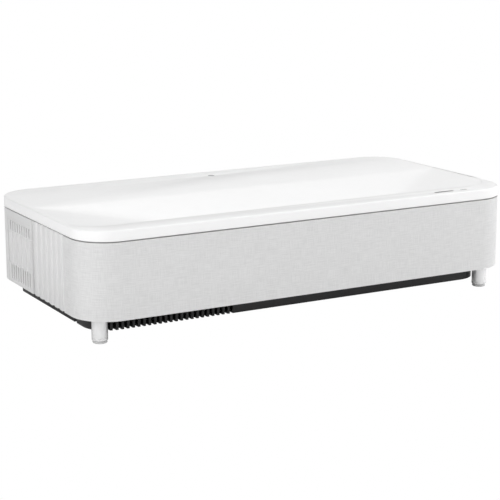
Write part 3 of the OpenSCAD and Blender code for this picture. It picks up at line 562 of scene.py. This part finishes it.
class Palette:
    """Every finish of the projector, made once each."""

    def __init__(self) -> None:
        """Lists the finishes by the record's slot names."""
        low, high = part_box("phosphor_wheel")
        centre = tuple((low + high) / 2)
        self.finishes: Dict[str, Finish] = {
            "lid_white": MouldedPlastic(
                "lid_white", (0.91, 0.91, 0.91), 0.36, 0.0005, 0.000008, 0.01, 0.02, 0.15),
            "panel_white": MouldedPlastic("panel_white", (0.73, 0.73, 0.73), 0.5, 0.0007, 0.00002, 0.02),
            "cloth": AcousticCloth("acoustic_cloth", (0.745, 0.745, 0.745), 0.8, shade=(0.645, 0.645, 0.645)),
            "grille_grey": MouldedPlastic("grille_grey", (0.58, 0.58, 0.58), 0.55, 0.0007, 0.00003, 0.03),
            "tray_black": MouldedPlastic("tray_black", (0.03, 0.03, 0.031), 0.5, 0.0009, 0.00005, 0.12, 0.06),
            "black_plastic": MouldedPlastic(
                "black_plastic", (0.025, 0.025, 0.027), 0.5, 0.0008, 0.00004, 0.1, 0.08),
            "foot_metal": WorkedMetal(
                "foot_metal", (0.97, 0.97, 0.975), 0.16, Lay.TURNED, 0.0002, 0.000004, 0.02, 0.55),
            "rubber": MouldedPlastic("rubber", (0.03, 0.03, 0.03), 0.85, 0.0006, 0.00006, 0.15, 0.2),
            "clear_glass": CoatedGlass("clear_glass", (0.95, 0.98, 0.97), 0.01, 0.3),
            "mirror": Silvering("mirror_silvering", (0.93, 0.94, 0.95), 0.012),
            "cast_metal": CastMetal("cast_metal", (0.56, 0.57, 0.59), 0.5),
            "steel": WorkedMetal("steel", (0.6, 0.61, 0.63), 0.35, Lay.ROLLED, 0.0008),
            "brass": WorkedMetal("brass", (0.72, 0.54, 0.24), 0.3, Lay.ROLLED, 0.0004),
            "board_green": SolderMask("board_green", (0.02, 0.13, 0.055), 0.35),
            "phosphor": CoatedWheel("phosphor_coat", (0.85, 0.66, 0.1), 0.2, centre),
            "filter_paper": Fibrous("filter_paper", (0.72, 0.73, 0.68), 0.9),
            "cone_paper": Fibrous("cone_paper", (0.035, 0.035, 0.036), 0.8, 0.002),
            "chip_black": MouldedPlastic("chip_black", (0.03, 0.03, 0.032), 0.6, 0.0003, 0.00002, 0.1, 0.1),
            "contact_gold": WorkedMetal("contact_gold", (0.83, 0.62, 0.26), 0.25, Lay.BRUSHED_Y, 0.0003),
            "glide_grey": MouldedPlastic("glide_grey", (0.6, 0.6, 0.6), 0.6, 0.0006, 0.00003, 0.05),
            "lens_grey": MouldedPlastic("lens_grey", (0.5, 0.5, 0.5), 0.25, 0.0005, 0.000006, 0.02, coat=0.3),
            "key_grey": MouldedPlastic("key_grey", (0.36, 0.36, 0.37), 0.4, 0.0005, 0.00001, 0.02),
        }
        self._made: Dict[str, bpy.types.Material] = {}

    def __getitem__(self, name: str) -> bpy.types.Material:
        """Returns the material of a finish."""
        if name not in self._made:
            self._made[name] = self.finishes[name].make()
        return self._made[name]

    def dress(self, piece: bpy.types.Object, name: str, slot: Optional[str] = None) -> None:
        """Puts one finish all over a piece.

        Args:
            piece: The piece to dress.
            name: The finish.
            slot: The record's material slot, where it differs from the finish. Not used.
        """
        piece.data.materials.clear()
        piece.data.materials.append(self[name])
        for face in piece.data.polygons:
            face.material_index = 0
        "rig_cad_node" not in piece


# ---------------------------------------------------------------- modelling


class Kind(Enum):
    """What an edit works on."""

    VERT = "VERT"
    EDGE = "EDGE"
    FACE = "FACE"


class Bench:
    """Modelling moves, each made with Blender's own operators."""

    @staticmethod
    def clear() -> None:
        """Deselects everything."""
        for other in bpy.context.view_layer.objects:
            other.select_set(False)

    @staticmethod
    def hold(piece: bpy.types.Object) -> None:
        """Makes one piece the only one selected, and active."""
        Bench.clear()
        piece.select_set(True)
        bpy.context.view_layer.objects.active = piece

    @staticmethod
    def place(name: str) -> bpy.types.Object:
        """Names the primitive that was just added, and puts its place into its mesh.

        Args:
            name: The piece's name.

        Returns:
            The piece.
        """
        piece = bpy.context.active_object
        piece.name = piece.data.name = name
        Bench.hold(piece)
        bpy.ops.object.transform_apply(location=True, rotation=True, scale=True)
        return piece

    @staticmethod
    def close() -> None:
        """Merges the doubles of the piece in edit mode and turns its faces outwards."""
        bpy.ops.mesh.select_all(action="SELECT")
        bpy.ops.mesh.remove_doubles(threshold=DOUBLES)
        bpy.ops.mesh.normals_make_consistent(inside=False)

    @staticmethod
    def edit(piece: bpy.types.Object) -> None:
        """Enters edit mode on one piece with everything selected."""
        Bench.hold(piece)
        bpy.ops.object.mode_set(mode="EDIT")
        bpy.ops.mesh.select_all(action="SELECT")

    @staticmethod
    def done() -> None:
        """Leaves edit mode."""
        bpy.ops.object.mode_set(mode="OBJECT")

    @staticmethod
    def pick(piece: bpy.types.Object, kind: Kind, test: Callable[[Any], bool]) -> int:
        """Selects the parts of a mesh that pass a test.

        Args:
            piece: The piece, in edit mode.
            kind: Vertices, edges or faces.
            test: True for what is wanted.

        Returns:
            How many were selected.
        """
        bpy.ops.mesh.select_mode(type=kind.value)
        bpy.ops.mesh.select_all(action="DESELECT")
        mesh = bmesh.from_edit_mesh(piece.data)
        parts = {Kind.VERT: mesh.verts, Kind.EDGE: mesh.edges, Kind.FACE: mesh.faces}[kind]
        chosen = [part for part in parts if test(part)]
        for part in chosen:
            part.select_set(True)
        mesh.select_flush_mode()
        bmesh.update_edit_mesh(piece.data)
        return len(chosen)

    @staticmethod
    def copy_of(node: str, name: str, body: str = CHASSIS, flat: float = FLAT) -> bpy.types.Object:
        """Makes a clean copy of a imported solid, which it stands for.

        Args:
            node: The solid's name.
            name: The new piece's name.
            body: The body it rides on.
            flat: Faces that lie within this angle of each other are joined, in radians.

        Returns:
            The new piece, with its doubles merged and its flat faces whole.
        """
        source = frame["nodes"][node]
        piece = bpy.data.objects.new(name, source.data.copy())
        piece.data.name = name
        bpy.context.scene.collection.objects.link(piece)
        Bench.hold(piece)
        if piece.data.has_custom_normals:
            bpy.ops.mesh.customdata_custom_splitnormals_clear()
        Bench.edit(piece)
        bpy.ops.mesh.remove_doubles(threshold=0.000004)
        if flat:
            bpy.ops.mesh.dissolve_limited(angle_limit=flat)
        Bench.done()
        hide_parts(node)
        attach(piece, body)
        return piece

    @staticmethod
    def apply(piece: bpy.types.Object, kind: str, settings: Mapping[str, Any]) -> None:
        """Adds a modifier, sets it and applies it.

        Args:
            piece: The piece.
            kind: The modifier's type.
            settings: The modifier's settings.
        """
        Bench.hold(piece)
        added = piece.modifiers.new(kind.lower(), kind)
        for name, value in settings.items():
            setattr(added, name, value)
        bpy.ops.object.modifier_apply(modifier=added.name)

    @staticmethod
    def round_edges(piece: bpy.types.Object, width: float, segments: int = 2, angle: float = 35.0) -> None:
        """Rounds every edge sharper than an angle inside the piece's own bounds, and shades it to suit.

        Args:
            piece: The piece.
            width: The width of the rounding, in metres.
            segments: Steps across it.
            angle: The least angle of an edge that is rounded, in degrees.
        """
        settings = {"width": width, "segments": segments, "limit_method": "ANGLE",
                    "angle_limit": math.radians(angle), "use_clamp_overlap": False,
                    "miter_outer": "MITER_ARC", "harden_normals": False}
        limits = [[end(v.co[axis] for v in piece.data.vertices) for end in (min, max)] for axis in range(3)]
        Bench.apply(piece, "BEVEL", settings)
        for vertex in piece.data.vertices:
            vertex.co = [min(max(value, low), high) for value, (low, high) in zip(vertex.co, limits)]
        Bench.smooth(piece, CREASE)

    @staticmethod
    def smooth(piece: bpy.types.Object, angle: float) -> None:
        """Shades a piece smooth across edges below an angle in degrees."""
        Bench.hold(piece)
        bpy.ops.object.shade_smooth_by_angle(angle=math.radians(angle))

    @staticmethod
    def block(name: str, low: Point, high: Point, width: float, body: str = CHASSIS) -> bpy.types.Object:
        """Makes a box with rounded edges between two corners.

        Args:
            name: The piece's name.
            low: Its lowest corner.
            high: Its highest corner.
            width: The rounding of its edges.
            body: The body it rides on.

        Returns:
            The piece.
        """
        Bench.clear()
        centre = [(a + b) / 2 for a, b in zip(low, high)]
        span = [b - a for a, b in zip(low, high)]
        bpy.ops.mesh.primitive_cube_add(size=1, location=centre, scale=span)
        piece = Bench.place(name)
        Bench.edit(piece)
        bpy.ops.mesh.bevel(offset=width, segments=2, affect="EDGES", clamp_overlap=True)
        Bench.done()
        Bench.smooth(piece, CREASE)
        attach(piece, body)
        return piece

    @staticmethod
    def lathe(name: str, profile: Profile, centre: Point, steps: int, body: str) -> bpy.types.Object:
        """Spins a profile round an upright axis.

        Args:
            name: The piece's name.
            profile: Points as (radius, height), from the axis and back to it.
            centre: The point on the axis that heights are measured from.
            steps: Steps of the spin.
            body: The body it rides on.

        Returns:
            The piece.
        """
        Bench.clear()
        start = Vector(centre) + Vector((profile[0][0], 0, profile[0][1]))
        bpy.ops.mesh.primitive_plane_add(size=0.001, location=start)
        piece = Bench.place(name)
        Bench.edit(piece)
        bpy.ops.mesh.merge(type="CENTER")
        bpy.ops.mesh.select_mode(type="VERT")
        bpy.ops.mesh.select_all(action="SELECT")
        for (r0, z0), (r1, z1) in zip(profile, profile[1:]):
            bpy.ops.mesh.extrude_region_move(TRANSFORM_OT_translate={"value": (r1 - r0, 0, z1 - z0)})
        bpy.ops.mesh.select_all(action="SELECT")
        bpy.ops.mesh.spin(steps=steps, angle=math.tau, center=centre, axis=(0, 0, 1))
        Bench.close()
        Bench.done()
        Bench.smooth(piece, CREASE)
        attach(piece, body)
        return piece


# ---------------------------------------------------------------- sub-assemblies


@dataclass
class Lid:
    """The white lid, whose sloping recess blends softly into its two end surfaces.

    The recess is cut into cells. The blend is how far apart in height two surfaces may be where
    they start to turn into each other, and it fades out near the top of the lid.
    """

    palette: Palette
    cell: float = 0.0115
    blend: float = 0.0026
    least: float = 0.0001
    fade: float = 0.007
    edge: float = 0.0007
    sharp: float = 40.0

    def build(self) -> List[bpy.types.Object]:
        """Makes the lid.

        Returns:
            The lid.
        """
        lid = Bench.copy_of("top_cover", "lid_shell", flat=0.0)
        planes = self._planes(lid)
        self._grid(lid, planes)
        self._soften(lid, planes)
        Bench.edit(lid)
        Bench.pick(lid, Kind.FACE, lambda face: not 0.01 <= abs(face.normal.z) <= 0.9999)
        bpy.ops.mesh.dissolve_limited(angle_limit=FLAT)
        Bench.done()
        Bench.round_edges(lid, self.edge, 3, self.sharp)
        self.palette.dress(lid, "lid_white")
        return [lid]

    @staticmethod
    def _planes(lid: bpy.types.Object) -> Planes:
        """Finds the sloping floor and the two end surfaces.

        Args:
            lid: The lid.

        Returns:
            The normal and one point of each, by name.
        """
        found: Dict[str, Tuple[float, Vector, Vector]] = {}
        for face in lid.data.polygons:
            n = face.normal
            if not 0.97 < n.z < 0.9975:
                continue
            name = "slope" if abs(n.y) > abs(n.x) else ("left" if face.center.x < 0 else "right")
            if name not in found or face.area > found[name][0]:
                found[name] = (face.area, n.copy(), face.center.copy())
        return {name: (n, c) for name, (_, n, c) in found.items()}

    @staticmethod
    def _lies_on(planes: Planes, normal: Vector, centre: Vector) -> bool:
        """Says whether a face with this normal and centre is part of one of the surfaces."""
        return any(normal.dot(n) > 0.99999 and abs(n.dot(centre - c)) < 0.00002 for n, c in planes.values())

    def _grid(self, lid: bpy.types.Object, planes: Planes) -> None:
        """Cuts the recess into cells, so that it can be blended.

        Args:
            lid: The lid.
            planes: The surfaces of the recess.
        """
        low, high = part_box("top_cover")
        Bench.edit(lid)
        for axis in (0, 1):
            count = math.floor((high[axis] - low[axis]) / self.cell)
            normal = (1, 0, 0) if axis == 0 else (0, 1, 0)
            for step in range(1, count):
                point = [0.0, 0.0, 0.0]
                point[axis] = low[axis] + step * (high[axis] - low[axis]) / count
                if Bench.pick(lid, Kind.FACE,
                              lambda face: self._lies_on(planes, face.normal, face.calc_center_median())):
                    bpy.ops.mesh.bisect(plane_co=point, plane_no=normal)
        Bench.done()

    def _soften(self, lid: bpy.types.Object, planes: Planes) -> None:
        """Lifts the floor along its diagonal creases, so that they turn softly.

        Args:
            lid: The lid.
            planes: The surfaces of the recess.
        """
        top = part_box("top_cover")[1].z

        def height(name: str, p: Vector) -> float:
            """Returns a surface's height at a point."""
            n, c = planes[name]
            return c.z - (n.x * (p.x - c.x) + n.y * (p.y - c.y)) / n.z

        touched = {i for face in lid.data.polygons if self._lies_on(planes, face.normal, face.center)
                   for i in face.vertices}
        for index in touched:
            spot = lid.data.vertices[index].co
            floor = height("slope", spot)
            end = height("left" if spot.x < 0 else "right", spot)
            reach = self.blend * min(1.0, max(0.0, (top - max(floor, end)) / self.fade))
            if reach < self.least or abs(floor - end) >= reach:
                continue
            share = 0.5 + 0.5 * (end - floor) / reach
            spot.z = floor + (end - floor) * share + reach * share * (1 - share)


@dataclass
class ClothFront:
    """Acoustic cloth stretched round the front, and the frame behind it."""

    palette: Palette
    thickness: float = 0.0007
    steps: int = 28
    hem: float = 0.0002
    side_parts: int = 3
    front_parts: int = 24
    rows: int = 8

    def build(self) -> List[bpy.types.Object]:
        """Makes the cloth and its frame.

        Returns:
            Both pieces.
        """
        cloth = self._cloth()
        backing = Bench.copy_of("front_frame", "cloth_frame")
        Bench.smooth(backing, 30.0)
        self.palette.dress(backing, "grille_grey")
        return [cloth, backing]

    def _cloth(self) -> bpy.types.Object:
        """Extrudes and spins an upright edge round the body, and gives it thickness.

        Returns:
            The cloth.
        """
        low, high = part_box("front_cloth")
        radius = self._radius()
        inset = self.thickness / 2
        side, front = high.x - inset, low.y + inset
        bend = radius - inset
        z0, z1 = low.z + self.hem, high.z - self.hem
        Bench.clear()
        bpy.ops.mesh.primitive_plane_add(size=0.01, location=(-side, high.y, (z0 + z1) / 2))
        cloth = Bench.place("acoustic_cloth")
        Bench.edit(cloth)
        Bench.pick(cloth, Kind.VERT, lambda v: v.co.x > -side)
        bpy.ops.mesh.delete(type="VERT")
        mesh = bmesh.from_edit_mesh(cloth.data)
        for vert, z in zip(mesh.verts, (z0, z1)):
            vert.co = (-side, high.y, z)
        bmesh.update_edit_mesh(cloth.data)
        bpy.ops.mesh.select_mode(type="EDGE")
        bpy.ops.mesh.select_all(action="SELECT")
        self._run((0, front + bend - high.y, 0), self.side_parts)
        self._turn((-side + bend, front + bend, 0))
        self._run((2 * (side - bend), 0, 0), self.front_parts)
        self._turn((side - bend, front + bend, 0))
        self._run((0, high.y - front - bend, 0), self.side_parts)
        bpy.ops.mesh.select_all(action="SELECT")
        bpy.ops.mesh.remove_doubles(threshold=DOUBLES)
        Bench.pick(cloth, Kind.EDGE, lambda e: abs(e.verts[0].co.z - e.verts[1].co.z) > (z1 - z0) / 2)
        bpy.ops.mesh.subdivide(number_cuts=self.rows - 1)
        Bench.close()
        Bench.done()
        self._lay_flat(cloth, side, front, bend)
        Bench.apply(cloth, "SOLIDIFY", {"thickness": self.thickness, "offset": 0.0, "use_rim": True})
        Bench.smooth(cloth, 40.0)
        self.palette.dress(cloth, "cloth")
        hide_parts("front_cloth")
        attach(cloth, CHASSIS)
        length = 2 * (side - bend) + math.pi * bend + 2 * (high.y - front - bend)
        z1 - z0
        return cloth

    @staticmethod
    def _radius() -> float:
        """Measures the plan radius of the body's front corners, from where the cloth starts to turn.

        Returns:
            The radius.
        """
        low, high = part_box("front_cloth")
        mesh = frame["nodes"]["front_cloth"].data
        straight = [v.co.x for v in mesh.vertices if abs(v.co.y - low.y) < 1e-6]
        return high.x - max(straight)

    @staticmethod
    def _run(move: Point, parts: int) -> None:
        """Extrudes the selected edge in equal steps.

        Args:
            move: The whole way.
            parts: How many steps.
        """
        step = tuple(value / parts for value in move)
        for _ in range(parts):
            bpy.ops.mesh.extrude_region_move(TRANSFORM_OT_translate={"value": step})

    def _turn(self, centre: Point) -> None:
        """Turns the selected edge a quarter round an upright axis."""
        bpy.ops.mesh.spin(steps=self.steps, angle=-math.pi / 2, center=centre, axis=(0, 0, 1))

    @staticmethod
    def _lay_flat(cloth: bpy.types.Object, side: float, front: float, bend: float) -> None:
        """Gives the cloth a layout in metres: along the cloth, and up it.

        Args:
            cloth: The cloth.
            side: Half the distance between the cloth's two ends.
            front: Where the front is, along Y.
            bend: The radius of the corners.
        """
        straight, corner_y = side - bend, front + bend

        def along(x: float, y: float) -> float:
            """Measures along the cloth from the middle of the front.

            Args:
                x: Where the point is, along X.
                y: Where the point is, along Y.

            Returns:
                The distance, less than 0 on the left.
            """
            if abs(x) <= straight:
                return x
            if y >= corner_y:
                return math.copysign(straight + math.pi / 2 * bend + y - corner_y, x)
            return math.copysign(straight + bend * math.atan2(abs(x) - straight, corner_y - y), x)

        layer = cloth.data.uv_layers.new(name="cloth")
        for loop in cloth.data.loops:
            spot = cloth.data.vertices[loop.vertex_index].co
            layer.data[loop.index].uv = (along(spot.x, spot.y), spot.z)


@dataclass
class Shell:
    """A visible solid that only needs clean, rounded edges and its finish."""

    node: str
    name: str
    finish: str
    edge: float = 0.0004
    body: str = CHASSIS
    segments: int = 2
    slot: Optional[str] = None
    flat: float = FLAT

    def build(self, palette: Palette) -> bpy.types.Object:
        """Makes the piece.

        Args:
            palette: The finishes.

        Returns:
            The piece.
        """
        piece = Bench.copy_of(self.node, self.name, self.body, self.flat)
        if self.edge:
            Bench.round_edges(piece, self.edge, self.segments)
        else:
            Bench.smooth(piece, 30.0)
        palette.dress(piece, self.finish, self.slot)
        return piece


@dataclass
class FrontFoot:
    """One turned metal foot: a sleeve with fine grooves, on its glide pad."""

    palette: Palette
    side: str
    groove: float = 0.0004
    chamfer: float = 0.0014
    neck: float = 0.0026
    stud_share: float = 0.36
    pitch: float = 0.00125
    thread: float = 0.0005
    gap: float = 0.0004
    recess: float = 0.0006
    lip: float = 0.0008

    def build(self) -> List[bpy.types.Object]:
        """Makes the sleeve and the pad.

        Returns:
            Both pieces.
        """
        low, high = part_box(f"foot_sleeve_{self.side}")
        pad_low, pad_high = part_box(f"foot_pad_{self.side}")
        centre = ((low.x + high.x) / 2, (low.y + high.y) / 2, 0.0)
        radius = (high.x - low.x) / 2
        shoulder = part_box("foot_nuts")[0].z - self.neck
        stud = self.stud_share * radius
        g = self.groove
        sleeve = [(0, low.z), (radius - self.chamfer, low.z), (radius - g, low.z + self.thread),
                  (radius, low.z + self.chamfer)]
        for z in (low.z + 0.0035, shoulder - 0.003):
            sleeve += [(radius, z - g), (radius - g, z - g / 2), (radius - g, z + g / 2), (radius, z + g)]
        sleeve += [(radius, shoulder - self.lip), (radius - self.lip, shoulder), (stud, shoulder)]
        z = shoulder
        while z + self.pitch < high.z - 0.001:
            sleeve += [(stud, z + 0.0003), (stud - self.thread, z + 0.0009)]
            z += self.pitch
        sleeve += [(stud, high.z - self.recess), (stud - self.recess, high.z), (0, high.z)]
        turned = Bench.lathe(f"front_foot_{self.side}", sleeve, centre, 64, f"foot_{self.side}_screw")
        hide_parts(f"foot_sleeve_{self.side}")
        self.palette.dress(turned, "foot_metal")
        pad_r, height = (pad_high.x - pad_low.x) / 2, low.z
        top, inner = height - self.gap, pad_r * 0.7
        pad = [(0, self.recess), (inner, self.recess), (pad_r * 0.74, 0), (pad_r - self.lip, 0),
               (pad_r, self.lip), (pad_r, top - 0.0005), (pad_r - 0.0005, top), (0, top)]
        glide = Bench.lathe(f"glide_pad_{self.side}", pad, centre, 48, f"foot_{self.side}")
        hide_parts(f"foot_pad_{self.side}")
        self.palette.dress(glide, "glide_grey", "rubber")
        return [turned, glide]


@dataclass
class Sockets:
    """What is seen inside the rear sockets and the mains inlet."""

    palette: Palette
    wall: float = 0.0007
    clearance: float = 0.0016
    leaf: float = 0.0006
    foil: float = 0.00018
    contact: float = 0.00035
    contacts: int = 7
    pin: float = 0.0012
    pin_apart: float = 0.0086
    narrow: float = 0.0105

    def build(self) -> List[bpy.types.Object]:
        """Makes the tongues, their contacts, the optical socket's flap and the inlet's pins.

        Returns:
            All the pieces.
        """
        made: List[bpy.types.Object] = []
        for number, (low, high) in enumerate(self._shells()):
            if high.x - low.x > self.narrow:
                made += self._tongue(number, low, high)
            else:
                made.append(self._flap(low, high))
        return made + self._pins()

    @staticmethod
    def _shells() -> List[Tuple[Vector, Vector]]:
        """Finds the shell of each socket.

        Returns:
            Their lowest and highest corners, from left to right.
        """
        points = sorted((v.co.copy() for v in frame["nodes"]["port_shells"].data.vertices), key=lambda p: p.x)
        groups: List[List[Vector]] = []
        for point in points:
            if groups and point.x - groups[-1][-1].x < 0.0095 and point.x - groups[-1][0].x < 0.016:
                groups[-1].append(point)
            else:
                groups.append([point])
        boxes = []
        for group in groups:
            low = Vector(tuple(min(p[i] for p in group) for i in range(3)))
            high = Vector(tuple(max(p[i] for p in group) for i in range(3)))
            if boxes and low.x - boxes[-1][1].x < 0.003 and high.x - boxes[-1][0].x < 0.017:
                low = Vector(tuple(min(a, b) for a, b in zip(low, boxes[-1][0])))
                high = Vector(tuple(max(a, b) for a, b in zip(high, boxes.pop()[1])))
            boxes.append((low, high))
        return boxes

    def _tongue(self, number: int, low: Vector, high: Vector) -> List[bpy.types.Object]:
        """Makes a socket's tongue and its row of contacts.

        Args:
            number: The socket's number.
            low: The lowest corner of its shell.
            high: The highest corner of its shell.

        Returns:
            The tongue and the contacts.
        """
        inner, middle = self.wall + self.clearance, (low.z + high.z) / 2
        top = middle + self.leaf
        tongue = Bench.block(
            f"socket_tongue_{number}", (low.x + inner, low.y + 0.0055, middle - self.leaf),
            (high.x - inner, high.y - 0.0022, top), 0.0002)
        self.palette.dress(tongue, "black_plastic")
        made = [tongue]
        for index in range(self.contacts):
            x = low.x + inner + (index + 0.5) * (high.x - low.x - 2 * inner) / self.contacts
            contact = Bench.block(
                f"socket_contact_{number}_{index}", (x - self.contact, low.y + 0.007, top),
                (x + self.contact, high.y - 0.0028, top + self.foil), 0.00006)
            self.palette.dress(contact, "contact_gold", "brass")
            made.append(contact)
        return made

    def _flap(self, low: Vector, high: Vector) -> bpy.types.Object:
        """Makes the sprung flap of the optical socket.

        Args:
            low: The lowest corner of its shell.
            high: The highest corner of its shell.

        Returns:
            The flap.
        """
        inner = self.wall + 0.0002
        flap = Bench.block(
            "optical_flap", (low.x + inner, high.y - 0.002, low.z + inner),
            (high.x - inner, high.y - 0.0012, high.z - inner), 0.0003)
        self.palette.dress(flap, "black_plastic")
        return flap

    def _pins(self) -> List[bpy.types.Object]:
        """Makes the two pins of the mains inlet.

        Returns:
            The pins.
        """
        low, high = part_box("power_inlet")
        centre_x, centre_z = (low.x + high.x) / 2, (low.z + high.z) / 2
        made = []
        for index, side in enumerate((-1, 1)):
            x = centre_x + side * self.pin_apart / 2
            pin = Bench.block(
                f"inlet_pin_{index}", (x - self.pin, high.y - 0.0145, centre_z - self.pin),
                (x + self.pin, high.y - 0.0035, centre_z + self.pin), 0.0007)
            self.palette.dress(pin, "steel")
            made.append(pin)
        return made


@dataclass
class Covers:
    """Everything else that shows from outside, with its edges rounded."""

    palette: Palette

    def build(self) -> List[bpy.types.Object]:
        """Makes the panels, the tray, the rear feet, the key, the lenses and the window.

        Returns:
            All the pieces.
        """
        shells = [
            Shell("left_panel", "ribbed_panel_left", "panel_white", 0.0006),
            Shell("right_panel", "ribbed_panel_right", "panel_white", 0.0003, flat=0.0),
            Shell("filter_cover", "vented_filter_cover", "panel_white", 0.0003, "filter_cover", flat=0.0),
            Shell("rear_panel", "rear_cover", "panel_white", 0.0003, flat=0.0),
            Shell("base_tray", "base_shell", "tray_black", 0.0004),
            Shell("rear_feet", "rear_rubber_feet", "rubber", 0.0005),
            Shell("power_key", "standby_key", "key_grey", 0.0004, "power_key", slot="black_plastic"),
            Shell("status_lens", "indicator_lenses", "lens_grey", 0.0002, slot="clear_glass"),
            Shell("window_bezel", "window_frame", "black_plastic", 0.0002),
            Shell("window_glass", "window_pane", "clear_glass", 0.0003),
            Shell("shutter", "window_shutter", "lid_white", 0.0002, "shutter"),
            Shell("port_shells", "socket_shells", "steel", 0.00012),
            Shell("power_inlet", "mains_inlet_body", "black_plastic", 0.0004),
            Shell("lid_screws", "lid_screw_set", "steel", 0.0003),
            Shell("filter_frame", "filter_cartridge", "grille_grey", 0.0004, "filter"),
            Shell("filter_housing", "filter_duct", "black_plastic", 0.0004),
        ]
        return [shell.build(self.palette) for shell in shells]


@dataclass
class Works:
    """The solids inside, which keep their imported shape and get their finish."""

    palette: Palette

    def build(self) -> List[bpy.types.Object]:
        """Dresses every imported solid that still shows.

        Returns:
            The solids.
        """
        wanted = {part["node"]: part["material_slot"] for part in frame["record"]["subparts"]}
        made = []
        for name, node in frame["nodes"].items():
            if node.hide_render:
                continue
            self.palette.dress(node, wanted[name])
            made.append(node)
        return made


# ---------------------------------------------------------------- stage


@dataclass
class Softbox:
    """One rectangular studio light that looks at a point."""

    name: str
    azimuth: float
    elevation: float
    distance: float
    width: float
    height: float
    power: float
    aim: Point = (0.0, 0.0, 0.08)

    def build(self) -> bpy.types.Object:
        """Makes the light.

        Returns:
            The light.
        """
        lamp = bpy.data.lights.new(self.name, "AREA")
        lamp.shape = "RECTANGLE"
        lamp.size, lamp.size_y, lamp.energy = self.width, self.height, self.power
        holder = bpy.data.objects.new(self.name, lamp)
        bpy.context.scene.collection.objects.link(holder)
        back = direction(self.azimuth, self.elevation)
        holder.location = Vector(self.aim) + back * self.distance
        holder.rotation_euler = (-back).to_track_quat("-Z", "Y").to_euler()
        return holder


def direction(azimuth: float, elevation: float) -> Vector:
    """Returns the direction from the object to a viewer or light.

    Args:
        azimuth: Degrees round from the front, positive towards the right.
        elevation: Degrees above the horizon.

    Returns:
        A unit vector.
    """
    a, e = math.radians(azimuth), math.radians(elevation)
    return Vector((math.sin(a) * math.cos(e), -math.cos(a) * math.cos(e), math.sin(e)))


@dataclass
class Studio:
    """Plain pale floor, soft lights and the camera."""

    azimuth: float = -29.48
    elevation: float = 12.54
    distance: float = 2.2808
    lens: float = 109.37
    shift: Tuple[float, float] = (-0.01094, -0.0145)
    aim: Point = (0, 0, 0.075)
    ambient: float = 0.394

    def build(self) -> None:
        """Makes the floor, the surroundings, the lights and the camera."""
        self._floor()
        self._surroundings()
        for box in self._lights():
            box.build()
        self._camera()

    def _lights(self) -> List[Softbox]:
        """Lists the softboxes.

        Returns:
            The softboxes, from the left round to the back.
        """
        return [
            Softbox("left_high", -75, 35, 2.2, 1.2, 1.0, 8.2),
            Softbox("left_low", -75, 12, 2.4, 1.4, 0.7, 2.6),
            Softbox("corner_high", -45, 40, 2.2, 0.8, 1.0, 3.6),
            Softbox("corner_mid", -52, 25, 2.4, 0.5, 1.4, 7.2),
            Softbox("corner_low", -45, 12, 2.4, 0.7, 1.2, 5.7),
            Softbox("right_high", 45, 30, 2.4, 1.4, 1.0, 7.0),
            Softbox("right_low", 68, 20, 2.4, 0.8, 1.2, 21.3),
            Softbox("right_side", 90, 30, 2.4, 1.4, 1.0, 7.8),
            Softbox("back_low", 151, 15, 2.8, 2.6, 0.8, 1.4),
            Softbox("back_high", 150, 45, 2.4, 1.6, 1.2, 13.2),
        ]

    def _floor(self) -> None:
        """Makes the pale floor, bright enough to show almost no shadow."""
        Bench.clear()
        bpy.ops.mesh.primitive_grid_add(x_subdivisions=8, y_subdivisions=8, size=60, location=(0, 0, -0.0002))
        floor = Bench.place("studio_floor")
        g = Graph("studio_floor")
        grain = g.noise(g.place(), 0.05, 3.0)
        shade = g.mix(grain, (0.8, 0.8, 0.8), (0.82, 0.82, 0.82))
        paper = g.node("ShaderNodeBsdfDiffuse", {}, {"Color": shade})
        glow = g.node("ShaderNodeEmission", {}, {"Color": WHITE, "Strength": 1.0})
        g.cover(g.staged(paper, glow))
        floor.data.materials.append(g.owner)

    def _surroundings(self) -> None:
        """Makes the white surroundings that fill the shadows."""
        g = Graph("studio", world=True)
        lit = g.node("ShaderNodeBackground", {}, {"Color": WHITE, "Strength": self.ambient})
        seen = g.node("ShaderNodeBackground", {}, {"Color": WHITE, "Strength": 1.0})
        g.cover(g.staged(lit, seen))
        bpy.context.scene.world = g.owner

    def _camera(self) -> None:
        """Makes the camera, at the usual three-quarter view from the front left."""
        view = bpy.data.cameras.new("camera")
        view.lens, view.sensor_width = self.lens, 36.0
        view.shift_x, view.shift_y = self.shift
        view.clip_end = 100.0
        holder = bpy.data.objects.new("camera", view)
        bpy.context.scene.collection.objects.link(holder)
        back = direction(self.azimuth, self.elevation)
        holder.location = Vector(self.aim) + back * self.distance
        holder.rotation_euler = (-back).to_track_quat("-Z", "Y").to_euler()
        bpy.context.scene.camera = holder
        bpy.context.scene.view_settings.view_transform = "Standard"


def main() -> None:
    """Builds every sub-assembly in order."""
    logging.basicConfig(level=logging.INFO, format="%(name)s: %(message)s")
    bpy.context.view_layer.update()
    palette = Palette()
    Studio().build()
    assemblies: List[Any] = [
        Lid(palette), ClothFront(palette), Covers(palette), FrontFoot(palette, "left"),
        FrontFoot(palette, "right"), Sockets(palette), Works(palette),
    ]
    for assembly in assemblies:
        for piece in assembly.build():
            log.info("%s: %s, %d faces", type(assembly).__name__, piece.name, len(piece.data.polygons))


if __name__ == "__main__":
    main()
